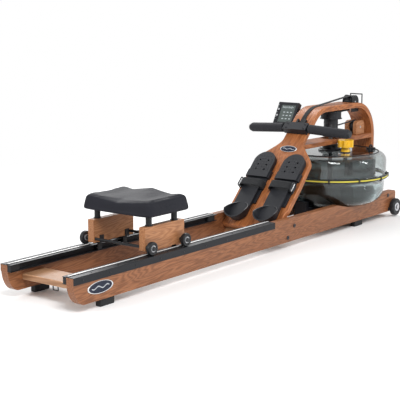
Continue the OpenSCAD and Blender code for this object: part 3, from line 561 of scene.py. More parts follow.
PAINT = Palette()


# ---------------------------------------------------------------- geometry helpers


def surface(name: str, points: Iterable[Sequence[float]], faces: Iterable[Sequence[int]],
            smooth: bool = True) -> bpy.types.Object:
    """Makes a mesh object from points and faces, with its normals set outward.

    Args:
        name: Name of the object.
        points: Its corners.
        faces: Rows of corner numbers.
        smooth: Whether it shades smoothly between sharp edges.

    Returns:
        The object, linked to the scene.
    """
    mesh = bpy.data.meshes.new(name)
    mesh.from_pydata([tuple(p) for p in points], [], [tuple(f) for f in faces])
    made = bpy.data.objects.new(name, mesh)
    bpy.context.scene.collection.objects.link(made)
    tidy_normals(mesh, smooth)
    return made


def tidy_normals(mesh: bpy.types.Mesh, smooth: bool = True, angle: float = 38.0) -> None:
    """Merges doubled points, turns normals outward and marks sharp edges.

    Args:
        mesh: The mesh to mend.
        smooth: Whether its faces shade smoothly.
        angle: Degrees between two faces from which an edge is sharp.
    """
    bm = bmesh.new()
    bm.from_mesh(mesh)
    bmesh.ops.remove_doubles(bm, verts=bm.verts, dist=1e-5)
    bmesh.ops.recalc_face_normals(bm, faces=bm.faces)
    for face in bm.faces:
        face.smooth = smooth
    limit = math.radians(angle)
    for edge in bm.edges:
        edge.smooth = len(edge.link_faces) == 2 and edge.calc_face_angle(0.0) < limit
    bm.to_mesh(mesh)
    bm.free()


def joined(name: str, parts: Sequence[bpy.types.Object]) -> bpy.types.Object:
    """Joins objects into one, keeping each one's finish.

    Args:
        name: Name of the whole.
        parts: The objects, of which the first one takes the rest in.

    Returns:
        The joined object.
    """
    first = parts[0]
    if len(parts) > 1:
        with bpy.context.temp_override(active_object=first, object=first, selected_objects=list(parts),
                                       selected_editable_objects=list(parts)):
            bpy.ops.object.join()
    first.name = name
    return first


def lathe(name: str, profile: Sequence[tuple[float, float]], at: Point, axis: str = "z",
          steps: int = 64) -> bpy.types.Object:
    """Turns a profile of (radius, height) pairs about an axis through a point.

    Args:
        name: The object's name.
        profile: Radii and heights, from one end to the other.
        at: A point on the axis.
        axis: "y" or "z".
        steps: Sides of the turned shape.

    Returns:
        The turned object.
    """
    points, faces = [], []
    for radius, height in profile:
        for k in range(steps):
            a = math.tau * k / steps
            u, v = max(radius, 1e-5) * math.cos(a), max(radius, 1e-5) * math.sin(a)
            local = (u, v, height) if axis == "z" else (u, height, v)
            points.append([at[i] + local[i] for i in range(3)])
    for row in range(len(profile) - 1):
        for k in range(steps):
            faces.append((row * steps + k, row * steps + (k + 1) % steps, (row + 1) * steps + (k + 1) % steps,
                          (row + 1) * steps + k))
    return surface(name, points, faces)


def tube(name: str, path: Sequence[Point], radius: float, closed: bool = False, sides: int = 10) -> bpy.types.Object:
    """Sweeps a round section along a path, with a map that follows it for woven finishes.

    Args:
        name: Name of the object.
        path: Points along its middle.
        radius: Radius of the section.
        closed: Whether the path runs back to its start.
        sides: Sides of the section, about.

    Returns:
        The swept object.
    """
    curve = bpy.data.curves.new(name, "CURVE")
    curve.dimensions = "3D"
    curve.bevel_depth = radius
    curve.bevel_resolution = max(1, sides // 4)
    curve.use_fill_caps = True
    line = curve.splines.new("POLY")
    line.points.add(len(path) - 1)
    for point, where in zip(line.points, path):
        point.co = (*where, 1.0)
    line.use_cyclic_u = closed
    holder = bpy.data.objects.new(name + "_line", curve)
    bpy.context.scene.collection.objects.link(holder)
    mesh = bpy.data.meshes.new_from_object(holder.evaluated_get(bpy.context.evaluated_depsgraph_get()))
    bpy.data.objects.remove(holder)
    made = bpy.data.objects.new(name, mesh)
    bpy.context.scene.collection.objects.link(made)
    tidy_normals(mesh)
    weave = mesh.uv_layers.new(name="weave")
    for loop in mesh.loops:
        co = mesh.vertices[loop.vertex_index].co
        weave.data[loop.index].uv = (co.x + co.z, co.y)
    return made


def ribbon(name: str, path: Sequence[Point], across: Sequence[Point], width: float, thick: float,
           columns: int = 5) -> bpy.types.Object:
    """Sweeps a flat tape along a path.

    Args:
        name: The object's name.
        path: Points on the tape's centre line.
        across: The tape's width direction at each point.
        width: Width of the tape.
        thick: Thickness of the tape.
        columns: Rows of points over the width.

    Returns:
        The tape, with its "weave" map in metres.
    """
    path = [Vector(p) for p in path]
    points, marks, travel = [], [], 0.0
    for i, centre in enumerate(path):
        if i:
            travel += (centre - path[i - 1]).length
        along = (path[min(i + 1, len(path) - 1)] - path[max(i - 1, 0)]).normalized()
        side = Vector(across[i]).normalized()
        out = along.cross(side).normalized()
        for level in (0.5, -0.5):
            for c in range(columns):
                u = c / (columns - 1) - 0.5
                round_off = 1 - 0.5 * max(0.0, abs(u) * 2 - 0.8) / 0.2
                points.append(centre + side * width * u + out * thick * level * round_off)
                marks.append((travel, u * width))
    row, faces = 2 * columns, []
    for i in range(len(path) - 1):
        for c in range(columns - 1):
            for base in (0, columns):
                faces.append((i * row + base + c, i * row + base + c + 1, (i + 1) * row + base + c + 1,
                              (i + 1) * row + base + c))
        for c in (0, columns - 1):
            faces.append((i * row + c, i * row + columns + c, (i + 1) * row + columns + c, (i + 1) * row + c))
    for i in (0, len(path) - 1):
        for c in range(columns - 1):
            faces.append((i * row + c, i * row + c + 1, i * row + columns + c + 1, i * row + columns + c))
    mesh = bpy.data.meshes.new(name)
    mesh.from_pydata([tuple(p) for p in points], [], faces)
    weave = mesh.uv_layers.new(name="weave")
    for loop in mesh.loops:
        weave.data[loop.index].uv = marks[loop.vertex_index]
    bm = bmesh.new()
    bm.from_mesh(mesh)
    bmesh.ops.recalc_face_normals(bm, faces=bm.faces)
    for face in bm.faces:
        face.smooth = True
    bm.to_mesh(mesh)
    bm.free()
    made = bpy.data.objects.new(name, mesh)
    bpy.context.scene.collection.objects.link(made)
    return made


class Repeat:
    """Geometry Nodes tree that stands one small shape on every point of a mesh."""

    def __init__(self) -> None:
        """Builds the tree once."""
        tree = self.tree = bpy.data.node_groups.new("stand_on_points", "GeometryNodeTree")
        sockets = (("Geometry", "NodeSocketGeometry"), ("Shape", "NodeSocketObject"), ("Size", "NodeSocketFloat"),
                   ("Spread", "NodeSocketFloat"), ("Seed", "NodeSocketInt"), ("Finish", "NodeSocketMaterial"))
        self.keys = {name: tree.interface.new_socket(name, in_out="INPUT", socket_type=kind).identifier
                     for name, kind in sockets}
        tree.interface.new_socket("Geometry", in_out="OUTPUT", socket_type="NodeSocketGeometry")
        new, link = tree.nodes.new, tree.links.new
        inside, outside = new("NodeGroupInput"), new("NodeGroupOutput")
        shape, stand = new("GeometryNodeObjectInfo"), new("GeometryNodeInstanceOnPoints")
        aim, face = new("GeometryNodeInputNamedAttribute"), new("FunctionNodeAlignRotationToVector")
        aim.data_type, aim.inputs["Name"].default_value, face.axis = "FLOAT_VECTOR", "aim", "Z"
        chance, size = new("FunctionNodeRandomValue"), new("ShaderNodeMath")
        chance.data_type, size.operation = "FLOAT", "MULTIPLY_ADD"
        chance.inputs[2].default_value, chance.inputs[3].default_value = -1.0, 1.0
        real, paint = new("GeometryNodeRealizeInstances"), new("GeometryNodeSetMaterial")
        link(inside.outputs["Shape"], shape.inputs["Object"])
        link(inside.outputs["Geometry"], stand.inputs["Points"])
        link(shape.outputs["Geometry"], stand.inputs["Instance"])
        link(aim.outputs[0], face.inputs["Vector"])
        link(face.outputs[0], stand.inputs["Rotation"])
        link(inside.outputs["Seed"], chance.inputs["Seed"])
        link(chance.outputs[1], size.inputs[0])
        link(inside.outputs["Spread"], size.inputs[1])
        link(inside.outputs["Size"], size.inputs[2])
        link(size.outputs[0], stand.inputs["Scale"])
        link(stand.outputs[0], real.inputs[0])
        link(real.outputs[0], paint.inputs[0])
        link(inside.outputs["Finish"], paint.inputs["Material"])
        link(paint.outputs[0], outside.inputs[0])

    def grow(self, name: str, places: Sequence[tuple[Sequence[float], Sequence[float]]], shape: bpy.types.Object,
             finish: Any, spread: float = 0.0, seed: int = 4) -> bpy.types.Object:
        """Stands the shape on each place and gives one plain mesh.

        Args:
            name: The object's name.
            places: Points with the direction that the shape's top faces at each.
            shape: The shape, modelled about the origin with its top at +Z. It is removed afterwards.
            finish: The finish for all of them.
            spread: Share by which sizes differ.
            seed: Seed for the sizes.

        Returns:
            One object with every copy in it.
        """
        mesh = bpy.data.meshes.new(name + "_places")
        mesh.from_pydata([tuple(p) for p, _ in places], [], [])
        aims = mesh.attributes.new("aim", "FLOAT_VECTOR", "POINT")
        aims.data.foreach_set("vector", np.array([tuple(a) for _, a in places], dtype=np.float32).ravel())
        holder = bpy.data.objects.new(name + "_places", mesh)
        bpy.context.scene.collection.objects.link(holder)
        grown = holder.modifiers.new("repeat", "NODES")
        grown.node_group = self.tree
        for key, value in (("Shape", shape), ("Size", 1.0), ("Spread", spread), ("Seed", seed),
                           ("Finish", PAINT.get(finish))):
            grown[self.keys[key]] = value
        bpy.context.view_layer.update()
        result = bpy.data.meshes.new_from_object(holder.evaluated_get(bpy.context.evaluated_depsgraph_get()))
        holder.modifiers.remove(grown)
        bpy.data.objects.remove(holder)
        bpy.data.objects.remove(shape)
        made = bpy.data.objects.new(name, result)
        bpy.context.scene.collection.objects.link(made)
        return made


def fixing(head: Head, radius: float, height: float) -> bpy.types.Object:
    """Models one bolt, screw or stud head about the origin, with a socket in round and hexagonal ones.

    Args:
        head: Kind of head.
        radius: Its radius.
        height: Its height.

    Returns:
        The head, standing on the origin.
    """
    if head is Head.DOME:
        return lathe("dome", [(radius, 0), (radius * 0.92, height * 0.5), (radius * 0.6, height * 0.88), (0, height)],
                     (0, 0, 0), steps=12)
    steps, dip = head.value, height * 0.35
    return lathe("head", [(radius * 0.9, 0), (radius, height * 0.2), (radius, height * 0.75), (radius * 0.86, height),
                          (radius * 0.45, height), (radius * 0.4, dip), (0, dip)], (0, 0, 0), steps=steps)


class BentLine:
    """Centre line of the bent boards: up the footboard, over the neck and beam, and down the arch."""

    def __init__(self, foot: tuple[float, float], neck: tuple[float, float], neck_r: float, arch: tuple[float, float],
                 arch_r: float, floor: float) -> None:
        """Builds the line in x and z.

        Args:
            foot: The line's lower end.
            neck: Centre of the neck's bend.
            neck_r: Radius of the line there.
            arch: Centre of the arch.
            arch_r: Radius of the line there.
            floor: Height of the line's other end.
        """
        turn = [math.radians(a) for a in np.linspace(135, 90, 16)]
        down = [math.radians(a) for a in np.linspace(90, 0, 31)]
        line = [foot] + [(neck[0] + neck_r * math.cos(a), neck[1] + neck_r * math.sin(a)) for a in turn]
        line += [(arch[0] + arch_r * math.cos(a), arch[1] + arch_r * math.sin(a)) for a in down]
        line.append((arch[0] + arch_r, floor))
        self.points = np.array(line)
        steps = np.diff(self.points, axis=0)
        self.length = np.hypot(steps[:, 0], steps[:, 1])
        self.way = steps / self.length[:, None]
        self.travel = np.concatenate([[0], np.cumsum(self.length)])

    def place(self, x: float, z: float) -> tuple[float, float]:
        """Gives the distance along the line, and out from it, of a point.

        Args:
            x: Where the point is along the floor.
            z: Its height.

        Returns:
            The two distances.
        """
        from_start = np.array([x, z]) - self.points[:-1]
        along = np.clip((from_start * self.way).sum(1), 0, self.length)
        away = from_start - self.way * along[:, None]
        nearest = int(np.hypot(away[:, 0], away[:, 1]).argmin())
        side = self.way[nearest][0] * away[nearest][1] - self.way[nearest][1] * away[nearest][0]
        return float(self.travel[nearest] + along[nearest]), float(side)


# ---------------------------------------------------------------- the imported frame


class Frame:
    """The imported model, with its nodes, boxes and finishes."""

    def __init__(self) -> None:
        """Loads the model and notes its size."""
        self.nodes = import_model()["nodes"]
        self.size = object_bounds()
        self.repeat = Repeat()

    def box(self, node: str) -> tuple[np.ndarray, np.ndarray]:
        """Gives a node's lowest and highest corner."""
        low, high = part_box(node)
        return np.array(low), np.array(high)

    def paint(self, finish: Any, *nodes: str) -> None:
        """Gives CAD nodes a finish.

        Args:
            finish: The finish.
            nodes: Names of the nodes.
        """
        for name in nodes:
            mesh = self.nodes[name].data
            mesh.materials.clear()
            mesh.materials.append(PAINT.get(finish))

    def place(self, made: bpy.types.Object, body: str, finish: Any = None, slot: str = "",
              instead_of: Sequence[str] = ()) -> bpy.types.Object:
        """Hands a finished piece to its body.

        Args:
            made: The piece.
            body: The CAD body it moves with, or nothing if it bends between two.
            finish: Its finish, if it doesn't have one already.
            slot: The record's material slot; not used.
            instead_of: CAD nodes it stands for.

        Returns:
            The piece.
        """
        if finish is not None:
            made.data.materials.clear()
            made.data.materials.append(PAINT.get(finish))
        if body:
            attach(made, body)
        if instead_of:
            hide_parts(*instead_of)
        log.info("piece %s: %d faces on %s", made.name, len(made.data.polygons), body)
        return made

    def softened(self, node: str, body: str, finish: Any, slot: str, width: float = 0.002, segments: int = 3,
                 line: BentLine | None = None) -> bpy.types.Object:
        """Stands a copy with rounded edges in for a CAD node.

        Args:
            node: The CAD node.
            body: Its body.
            finish: The copy's finish.
            slot: The record's material slot.
            width: Width of the rounding.
            segments: Steps over the rounding.
            line: The bent line that the grain follows, if it isn't straight.

        Returns:
            The copy.
        """
        bm = bmesh.new()
        bm.from_mesh(self.nodes[node].data)
        bm.transform(self.nodes[node].matrix_world)
        bmesh.ops.remove_doubles(bm, verts=bm.verts, dist=2e-5)
        bmesh.ops.dissolve_limit(bm, angle_limit=math.radians(0.6), verts=bm.verts, edges=bm.edges)
        sharp = [e for e in bm.edges if len(e.link_faces) == 2 and e.calc_face_angle(0) > math.radians(32)]
        worn = bm.faces.layers.float.new("edge")
        rounded = bmesh.ops.bevel(bm, geom=sharp, offset=width, segments=segments, profile=0.5, affect="EDGES",
                                  clamp_overlap=True, loop_slide=True)
        for face in rounded["faces"]:
            face[worn] = 1.0
        bmesh.ops.remove_doubles(bm, verts=bm.verts, dist=1e-6)
        bmesh.ops.triangulate(bm, faces=[f for f in bm.faces if len(f.verts) > 4])
        bmesh.ops.recalc_face_normals(bm, faces=bm.faces)
        for face in bm.faces:
            face.smooth = True
        for edge in bm.edges:
            edge.smooth = len(edge.link_faces) == 2 and edge.calc_face_angle(0) < math.radians(40)
        mesh = bpy.data.meshes.new(node + "_soft")
        bm.to_mesh(mesh)
        bm.free()
        if line is not None:
            grain = mesh.attributes.new("grain", "FLOAT_VECTOR", "POINT")
            where = [line.place(v.co.x, v.co.z) for v in mesh.vertices]
            values = [(s, v.co.y, n) for (s, n), v in zip(where, mesh.vertices)]
            grain.data.foreach_set("vector", np.array(values, dtype=np.float32).ravel())
        made = bpy.data.objects.new(node + "_soft", mesh)
        bpy.context.scene.collection.objects.link(made)
        weighted = made.modifiers.new("weighted", "WEIGHTED_NORMAL")
        weighted.keep_sharp = True
        bpy.context.view_layer.update()
        solid = bpy.data.meshes.new_from_object(made.evaluated_get(bpy.context.evaluated_depsgraph_get()))
        made.modifiers.remove(weighted)
        made.data = solid
        return self.place(made, body, finish, slot, [node])


# ---------------------------------------------------------------- the rower's parts


@dataclass
class Slope:
    """The footboard's face: s runs up it from rail height, n stands out of it."""

    frame: Frame
    foot_x: float = 0.149

    def __post_init__(self) -> None:
        """Works out where the slope starts and which way it runs."""
        self.foot = (self.foot_x, float(self.frame.box("rail_left")[1][2]))
        c = math.sqrt(0.5)
        self.up, self.out = (c, 0.0, c), (-c, 0.0, c)

    def at(self, s: float, n: float, y: float = 0.0) -> Point:
        """Gives the point at s up the slope, n out of it and y across."""
        return (self.foot[0] + s * self.up[0] + n * self.out[0], y, self.foot[1] + s * self.up[2] + n * self.out[2])


@dataclass
class Plan:
    """What the groups share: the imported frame, the slope, the tank's axis and the bent boards' line."""

    board: float = 0.022
    arch_radius: float = 0.153
    neck_radius: float = 0.120
    half_turn: float = math.radians(22.5)
    below_foot: float = 0.062

    def __post_init__(self) -> None:
        """Loads the frame and works out the line of the bent boards."""
        frame = self.frame = Frame()
        low, high = frame.box("tank_bowl")
        self.tank = np.array([(low[0] + high[0]) / 2, 0.0])
        self.rail_top = float(frame.box("rail_left")[1][2])
        self.slope = Slope(frame)
        beam = float(frame.box("neck_board")[1][2])
        arch_low, arch_high = frame.box("front_arch")
        thick, outer, inner = self.board, self.arch_radius, self.neck_radius
        up = self.slope.at(0.0, -thick)
        neck = (up[0] + (beam - thick - up[2]) + inner * math.tan(self.half_turn), beam - thick - inner)
        foot = self.slope.at(-self.below_foot, -thick / 2)
        self.line = BentLine((foot[0], foot[2]), neck, inner + thick / 2,
                             (float(arch_high[0]) - outer, beam - outer), outer - thick / 2, float(arch_low[2]))
        self.neck, self.neck_r = neck, inner + thick


@dataclass
class Group:
    """One sub-assembly of the rower, with the plan that all of them share."""

    plan: Plan

    @property
    def frame(self) -> Frame:
        """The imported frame."""
        return self.plan.frame

    @property
    def slope(self) -> Slope:
        """The footboard's face."""
        return self.plan.slope

    @property
    def tank(self) -> np.ndarray:
        """The tank's axis in plan."""
        return self.plan.tank

    def build(self) -> None:
        """Builds and dresses the group."""
        raise NotImplementedError


@dataclass
class Woodwork(Group):
    """Rails, cross boards and bent boards."""

    rail_edge: float = 0.004
    board_edge: float = 0.003
    deck_edge: float = 0.0025

    def build(self) -> None:
        """Rails, cross boards and bent boards with rounded, worn edges."""
        f = self.frame
        # The far rail takes the darker copy of the rail timber, which is painted shade.
        f.softened("rail_left", "frame", PAINT.RAIL_PAINTED_SHADE, "rail_wood", self.rail_edge)
        f.softened("rail_right", "frame", PAINT.RAIL, "rail_wood", self.rail_edge)
        for node in ("rear_plank", "foot_cross", "front_cross"):
            f.softened(node, "frame", PAINT.CROSS, "plank_wood", self.board_edge)
        for node in ("footboard", "neck_board", "front_arch"):
            f.softened(node, "frame", PAINT.BENT, "board_wood", self.board_edge, line=self.plan.line)
        f.softened("deck_plank", "frame", PAINT.DECK, "board_wood", self.deck_edge)
        f.softened("carriage_sides", "seat_carriage", PAINT.SIDE, "carriage_wood", self.rail_edge)
        f.softened("pulley_cheeks", "frame", PAINT.SIDE, "carriage_wood", self.board_edge)


@dataclass
class Tracks(Group):
    """Aluminium tracks, and the plain fittings of the rails."""

    screw_pitch: float = 0.123
    screw_stagger: float = 0.05
    screw: tuple[float, float] = (0.003, 0.0012)
    strip_y: float = 0.1325
    strip_z: float = 0.0041
    highlight_section: tuple[float, float] = (0.0062, 0.0016)
    highlight_steps: int = 24

    def build(self) -> None:
        """Track bars with their screws, painted highlight strips, stops and feet."""
        f = self.frame
        f.paint(PAINT.TRACK, "tracks")
        low, high = f.box("tracks")
        screws, highlight_strips = [], []
        for side in (-1, 1):
            for x in np.arange(low[0] + 0.04, high[0] - 0.02, self.screw_pitch):
                screws.append(((x, side * high[1], self.plan.rail_top - 0.011), (0, side, 0)))
                screws.append(((x + self.screw_stagger, side * (high[1] - 0.012), self.plan.rail_top + 0.002),
                               (0, 0, 1)))
            # A pale ribbon along each track's top edge is a painted highlight.
            y = side * self.strip_y
            line = [(x, y, self.plan.rail_top + self.strip_z) for x in
                    np.linspace(low[0] + 0.004, high[0] - 0.004, self.highlight_steps)]
            highlight_strips.append(ribbon(f"strip_{side}", line, [(0, 1, 0)] * self.highlight_steps, *self.highlight_section))
        f.place(joined("track_strips", highlight_strips), "frame", PAINT.PAINTED_HIGHLIGHT, "bright_steel")
        f.place(f.repeat.grow("track_screws", screws, fixing(Head.ROUND, *self.screw), PAINT.BOLT), "frame",
                slot="bolt_steel")
        f.softened("track_stops", "frame", PAINT.RUBBER, "black_rubber", 0.002)
        f.softened("rubber_feet", "frame", PAINT.RUBBER, "black_rubber", 0.003)
        f.softened("frame_bolts", "frame", PAINT.BOLT, "bolt_steel", 0.0008)
        f.softened("axle_bolts", "frame", PAINT.STEEL, "bright_steel", 0.001)
        f.paint(PAINT.BOLT, "lift_hook")


@dataclass
class Badges(Group):
    """Oval badges with a plain wave."""

    rail_oval: tuple[float, float] = (0.058, 0.02)
    board_oval: tuple[float, float] = (0.04, 0.016)
    rail_face: float = 0.16
    board_place: float = 0.335
    wave_stretch: float = 2.2
    steps: int = 96
    rim_rings: int = 4
    rings: tuple[tuple[float, float], ...] = ((1.0, 0.0), (1.0, 0.0012), (0.985, 0.0019), (0.93, 0.0019),
                                              (0.905, 0.0013), (0.7, 0.0016), (0.35, 0.0018), (0.01, 0.0019))

    def build(self) -> None:
        """Domed oval badges with a raised rim, in place of the flat ones."""
        f, low, high = self.frame, *self.frame.box("badges")
        (wide, tall), lift_off = self.rail_oval, 0.0001
        x, z = float(low[0]) + wide, float(low[2]) + tall
        spots = [((x, s * (self.rail_face + lift_off), z), (s, 0, 0), (0, 0, 1), (0, s, 0), wide, tall)
                 for s in (-1, 1)]
        at = self.slope.at(self.board_place, lift_off)
        spots.append((at, (0, -1, 0), self.slope.up, self.slope.out, *self.board_oval))
        for index, (centre, right, top, out, a, b) in enumerate(spots):
            right, top, out = Vector(right), Vector(top), Vector(out)
            rings, steps = self.rings, self.steps
            points, faces = [], []
            for scale, lift in rings:
                for k in range(steps):
                    c, s = math.cos(math.tau * k / steps) * scale, math.sin(math.tau * k / steps) * scale
                    points.append(Vector(centre) + right * a * c + top * b * s + out * lift)
            for row in range(len(rings) - 1):
                for k in range(steps):
                    n = (k + 1) % steps
                    faces.append((row * steps + k, row * steps + n, (row + 1) * steps + n, (row + 1) * steps + k))
            faces.append(tuple(range((len(rings) - 1) * steps, len(rings) * steps)))
            badge = surface(f"badge_{index}", points, faces)
            away = [v.co - Vector(centre) for v in badge.data.vertices]
            layer = badge.data.attributes.new("grain", "FLOAT_VECTOR", "POINT")
            flat = [(d.dot(right) / a, d.dot(top) / a * self.wave_stretch, 0.0) for d in away]
            layer.data.foreach_set("vector", np.array(flat, dtype=np.float32).ravel())
            badge.data.materials.append(PAINT.get(PAINT.SILVER))
            badge.data.materials.append(PAINT.get(PAINT.BADGE))
            for face in badge.data.polygons:
                face.material_index = int(face.index >= self.rim_rings * steps)
            f.place(badge, "frame", slot="badge_face", instead_of=["badges"] if index == 0 else ())


@dataclass
class FootRests(Group):
    """Foot plates, heel plates, straps and buckles."""

    apart: float = 0.07
    dots_from: float = 0.2085
    dot_pitch: tuple[float, float] = (0.0135, 0.0115)
    holes: Point = (0.208, 0.2315, 0.255)
    hole_y: float = 0.02
    strap_place: float = 0.132
    strap_section: tuple[float, float] = (0.0338, 0.0026)
    strap_arch: Point = (0.0512, 0.0365, 0.0165)
    stitch_pitch: float = 0.004
    buckle_y: float = 0.1225

    def build(self) -> None:
        """Foot rests with raised dots, sliding heel plates, woven straps and buckles."""
        f, slope = self.frame, self.slope
        f.softened("footplates", "frame", PAINT.CHARCOAL, "black_plastic", 0.0025)
        f.softened("heel_plate_left", "heel_left", PAINT.CHARCOAL, "black_plastic", 0.002)
        f.softened("heel_plate_right", "heel_right", PAINT.CHARCOAL, "black_plastic", 0.002)
        dots = []
        for side in (-1, 1):
            for i in range(6):
                for j in range(-3, 4):
                    s, y = self.dots_from + self.dot_pitch[0] * i, self.dot_pitch[1] * j
                    if math.hypot(max(0, s - 0.25), y) < 0.043 and all(
                            math.hypot(s - h, abs(y) - self.hole_y) > 0.0085 for h in self.holes):
                        dots.append(((*slope.at(s, 0.0199, side * self.apart + y),), slope.out))
        f.place(f.repeat.grow("footplate_dots", dots, fixing(Head.DOME, 0.0021, 0.0011), PAINT.CHARCOAL, 0.08),
                "frame", slot="black_plastic")
        stitches = []
        for side in (-1, 1):
            path, across = [], []
            half, top, corner = self.strap_arch
            outline = [(-half, 0.002 + 0.017 * t) for t in np.linspace(0, 1, 5)]
            outline += [(-half + corner - corner * math.cos(a), top - corner + corner * math.sin(a))
                        for a in np.linspace(0, math.pi / 2, 10)]
            outline += [(half - corner + corner * math.sin(a), top - corner + corner * math.cos(a))
                        for a in np.linspace(0, math.pi / 2, 10)]
            outline += [(half, 0.019 - 0.017 * t) for t in np.linspace(0, 1, 5)]
            for y, n in outline:
                sway = 0.0012 * math.sin(y * 90 + side) + 0.0008 * math.sin(n * 170)
                path.append(slope.at(self.strap_place + sway, n + 0.0006 * math.sin(y * 60), side * self.apart + y))
                across.append(slope.up)
            strap = ribbon(f"foot_strap_{side}", path, across, *self.strap_section, 9)
            f.place(strap, "frame", PAINT.STRAP, "strap_web", ["foot_straps"] if side < 0 else ())
            for edge in (-0.0135, 0.0135):
                for y in np.arange(-0.024, 0.0241, self.stitch_pitch):
                    stitches.append((slope.at(self.strap_place + edge, 0.0379, side * self.apart + y), slope.out))
        thread = fixing(Head.DOME, 0.0009, 0.0006)
        f.place(f.repeat.grow("strap_stitches", stitches, thread, PAINT.CHARCOAL, 0.1), "frame", slot="strap_web")
        for side in (-1, 1):
            self.buckle(side)

    def buckle(self, side: int) -> None:
        """Cam buckle: a moulded frame, a bright lever bar and a pin, on the outer side of a strap.

        Args:
            side: 1 for the left foot, -1 for the right.
        """
        slope, at, y = self.slope, self.strap_place, side * self.buckle_y
        loop = [slope.at(at + 0.0195 * u, 0.020 + 0.0125 * v, y + side * 0.0025)
                for u, v in ((-1, -0.8), (-0.85, -1), (0.85, -1), (1, -0.8),
                             (1, 0.8), (0.85, 1), (-0.85, 1), (-1, 0.8))]
        rim = tube(f"buckle_rim_{side}", loop, 0.0026, True, 12)
        bar = tube(f"buckle_bar_{side}", [slope.at(at + u * 0.018, 0.023, y + side * 0.0035) for u in (-1, 1)],
                   0.0021, sides=12)
        lever = ribbon(f"buckle_lever_{side}", [slope.at(at, 0.023 - 0.011 * t, y + side * (0.0045 + 0.002 * t))
                                                for t in np.linspace(0, 1, 6)], [slope.up] * 6, 0.03, 0.0016)
        self.frame.place(rim, "frame", PAINT.PLASTIC, "black_plastic", ["strap_buckles"] if side < 0 else ())
        self.frame.place(bar, "frame", PAINT.SILVER, "bright_steel")
        self.frame.place(lever, "frame", PAINT.PLASTIC, "black_plastic")


@dataclass
class WaterTank(Group):
    """Clear tank with its water, seal, hub, plug, knob and paddle."""

    vessel_r: float = 0.196
    vessel_corner: float = 0.05
    water_r: float = 0.2325
    water_corner: float = 0.066
    dome_shade_r: float = 0.2075
    flange_r: float = 0.248
    flange_shade_band: float = 0.0034
    bolt_r: float = 0.2446
    bolts: int = 24

    def build(self) -> None:
        """Clear shells with water, seal, black ring lines of painted shade on the dome edge and flange, clips, bolts,
        hub, plug, knob and paddle.
        """
        f, (x, y) = self.frame, self.tank
        f.paint(PAINT.SHELL, "tank_bowl", "tank_dome")
        f.paint(PAINT.SEAL, "tank_gasket")
        bowl_low = float(f.box("tank_bowl")[0][2])
        ring, top = float(f.box("tank_bowl")[1][2]), float(f.box("tank_dome")[1][2])
        for name, radius, corner, floor, level, finish in (
                ("inner_vessel", self.vessel_r, self.vessel_corner, bowl_low + 0.012, top - 0.024, PAINT.VESSEL),
                ("tank_water", self.water_r, self.water_corner, bowl_low + 0.006, ring - 0.02, PAINT.WATER)):
            outline = [(0.0, floor)]
            outline += [(radius - corner + corner * math.sin(a), floor + corner - corner * math.cos(a))
                        for a in np.linspace(0, math.pi / 2, 14)]
            outline += [(radius, level - 0.006), (radius - 0.002, level - 0.0015), (radius - 0.006, level)]
            if name == "tank_water":
                wall, bend = self.vessel_r + 0.0015, self.vessel_corner + 0.001
                outline += [(wall, level)] + [(wall - bend + bend * math.sin(a), bowl_low + 0.0115 + bend - bend *
                                               math.cos(a)) for a in np.linspace(math.pi / 2, 0, 14)]
            outline.append((0.0, outline[-1][1]))
            f.place(lathe(name, outline, (x, y, 0), steps=128), "frame", finish, "clear_shell")
        # A black ring on the dome's top edge stands for the dark edge of the clear dome: painted shade.
        edge_shade_ring = [(x + self.dome_shade_r * math.cos(a), y + self.dome_shade_r * math.sin(a), top + 0.0006)
                     for a in np.linspace(0, math.tau, 97)[:-1]]
        f.place(tube("dome_ring_line", edge_shade_ring, 0.0019, True), "frame", PAINT.PLASTIC, "black_plastic")
        # Black bands just below and above the seal stand for the dark edges of the clear flange: painted shade.
        half, inner, outer = self.flange_shade_band / 2, self.flange_r - 0.0008, self.flange_r + 0.0012
        for name, height in (("lower_flange_line", ring - 0.0024), ("upper_flange_line", ring + 0.0074)):
            band = [(inner, -half), (outer, -half), (outer + 0.0004, 0), (outer, half), (inner, half), (inner, -half)]
            f.place(lathe(name, [(r, height + h) for r, h in band], (x, y, 0), steps=128), "frame", PAINT.PLASTIC,
                    "black_plastic")
        bolts = [((x + self.bolt_r * math.cos(a), y + self.bolt_r * math.sin(a), ring + 0.01), (0, 0, 1))
                 for a in np.arange(0.13, math.tau, math.tau / self.bolts)]
        f.place(f.repeat.grow("ring_bolts", bolts, fixing(Head.HEX, 0.0034, 0.0028), PAINT.BOLT), "frame",
                slot="bolt_steel")
        f.softened("ring_clips", "frame", PAINT.PLASTIC, "black_plastic", 0.0012)
        f.softened("tank_cradle", "frame", PAINT.PLASTIC, "black_plastic", 0.003)
        f.paint(PAINT.RUBBER, "tank_pads")
        hub = [(0.0085, 0.028), (0.012, 0.0285), (0.0315, 0.028), (0.034, 0.0255), (0.0345, 0.012), (0.037, 0.0085),
               (0.049, 0.0078), (0.0518, 0.0055), (0.052, 0.0004), (0.046, 0.0002), (0.0085, 0.0002)]
        f.place(lathe("hub_cover", [(r, top + h) for r, h in hub], (x, y, 0), steps=96), "frame", PAINT.PLASTIC,
                "black_plastic", ["tank_hub"])
        screws = [((x + 0.0435 * math.cos(a), y + 0.0435 * math.sin(a), top + 0.008), (0, 0, 1))
                  for a in np.arange(0.3, math.tau, math.tau / 8)]
        f.place(f.repeat.grow("hub_screws", screws, fixing(Head.ROUND, 0.0036, 0.0022), PAINT.BOLT), "frame",
                slot="bolt_steel")
        f.softened("fill_plug", "plug", PAINT.PLASTIC, "black_plastic", 0.0015)
        knob = f.softened("adjuster_knob", "knob", PAINT.YELLOW, "yellow_plastic", 0.0035, 4)
        knob.data.materials.append(PAINT.get(PAINT.PLASTIC))
        for face in knob.data.polygons:
            face.material_index = int(face.center.z < top + 0.004)
        f.softened("impeller", "paddle", PAINT.BLADE, "silver_plastic", 0.0015)


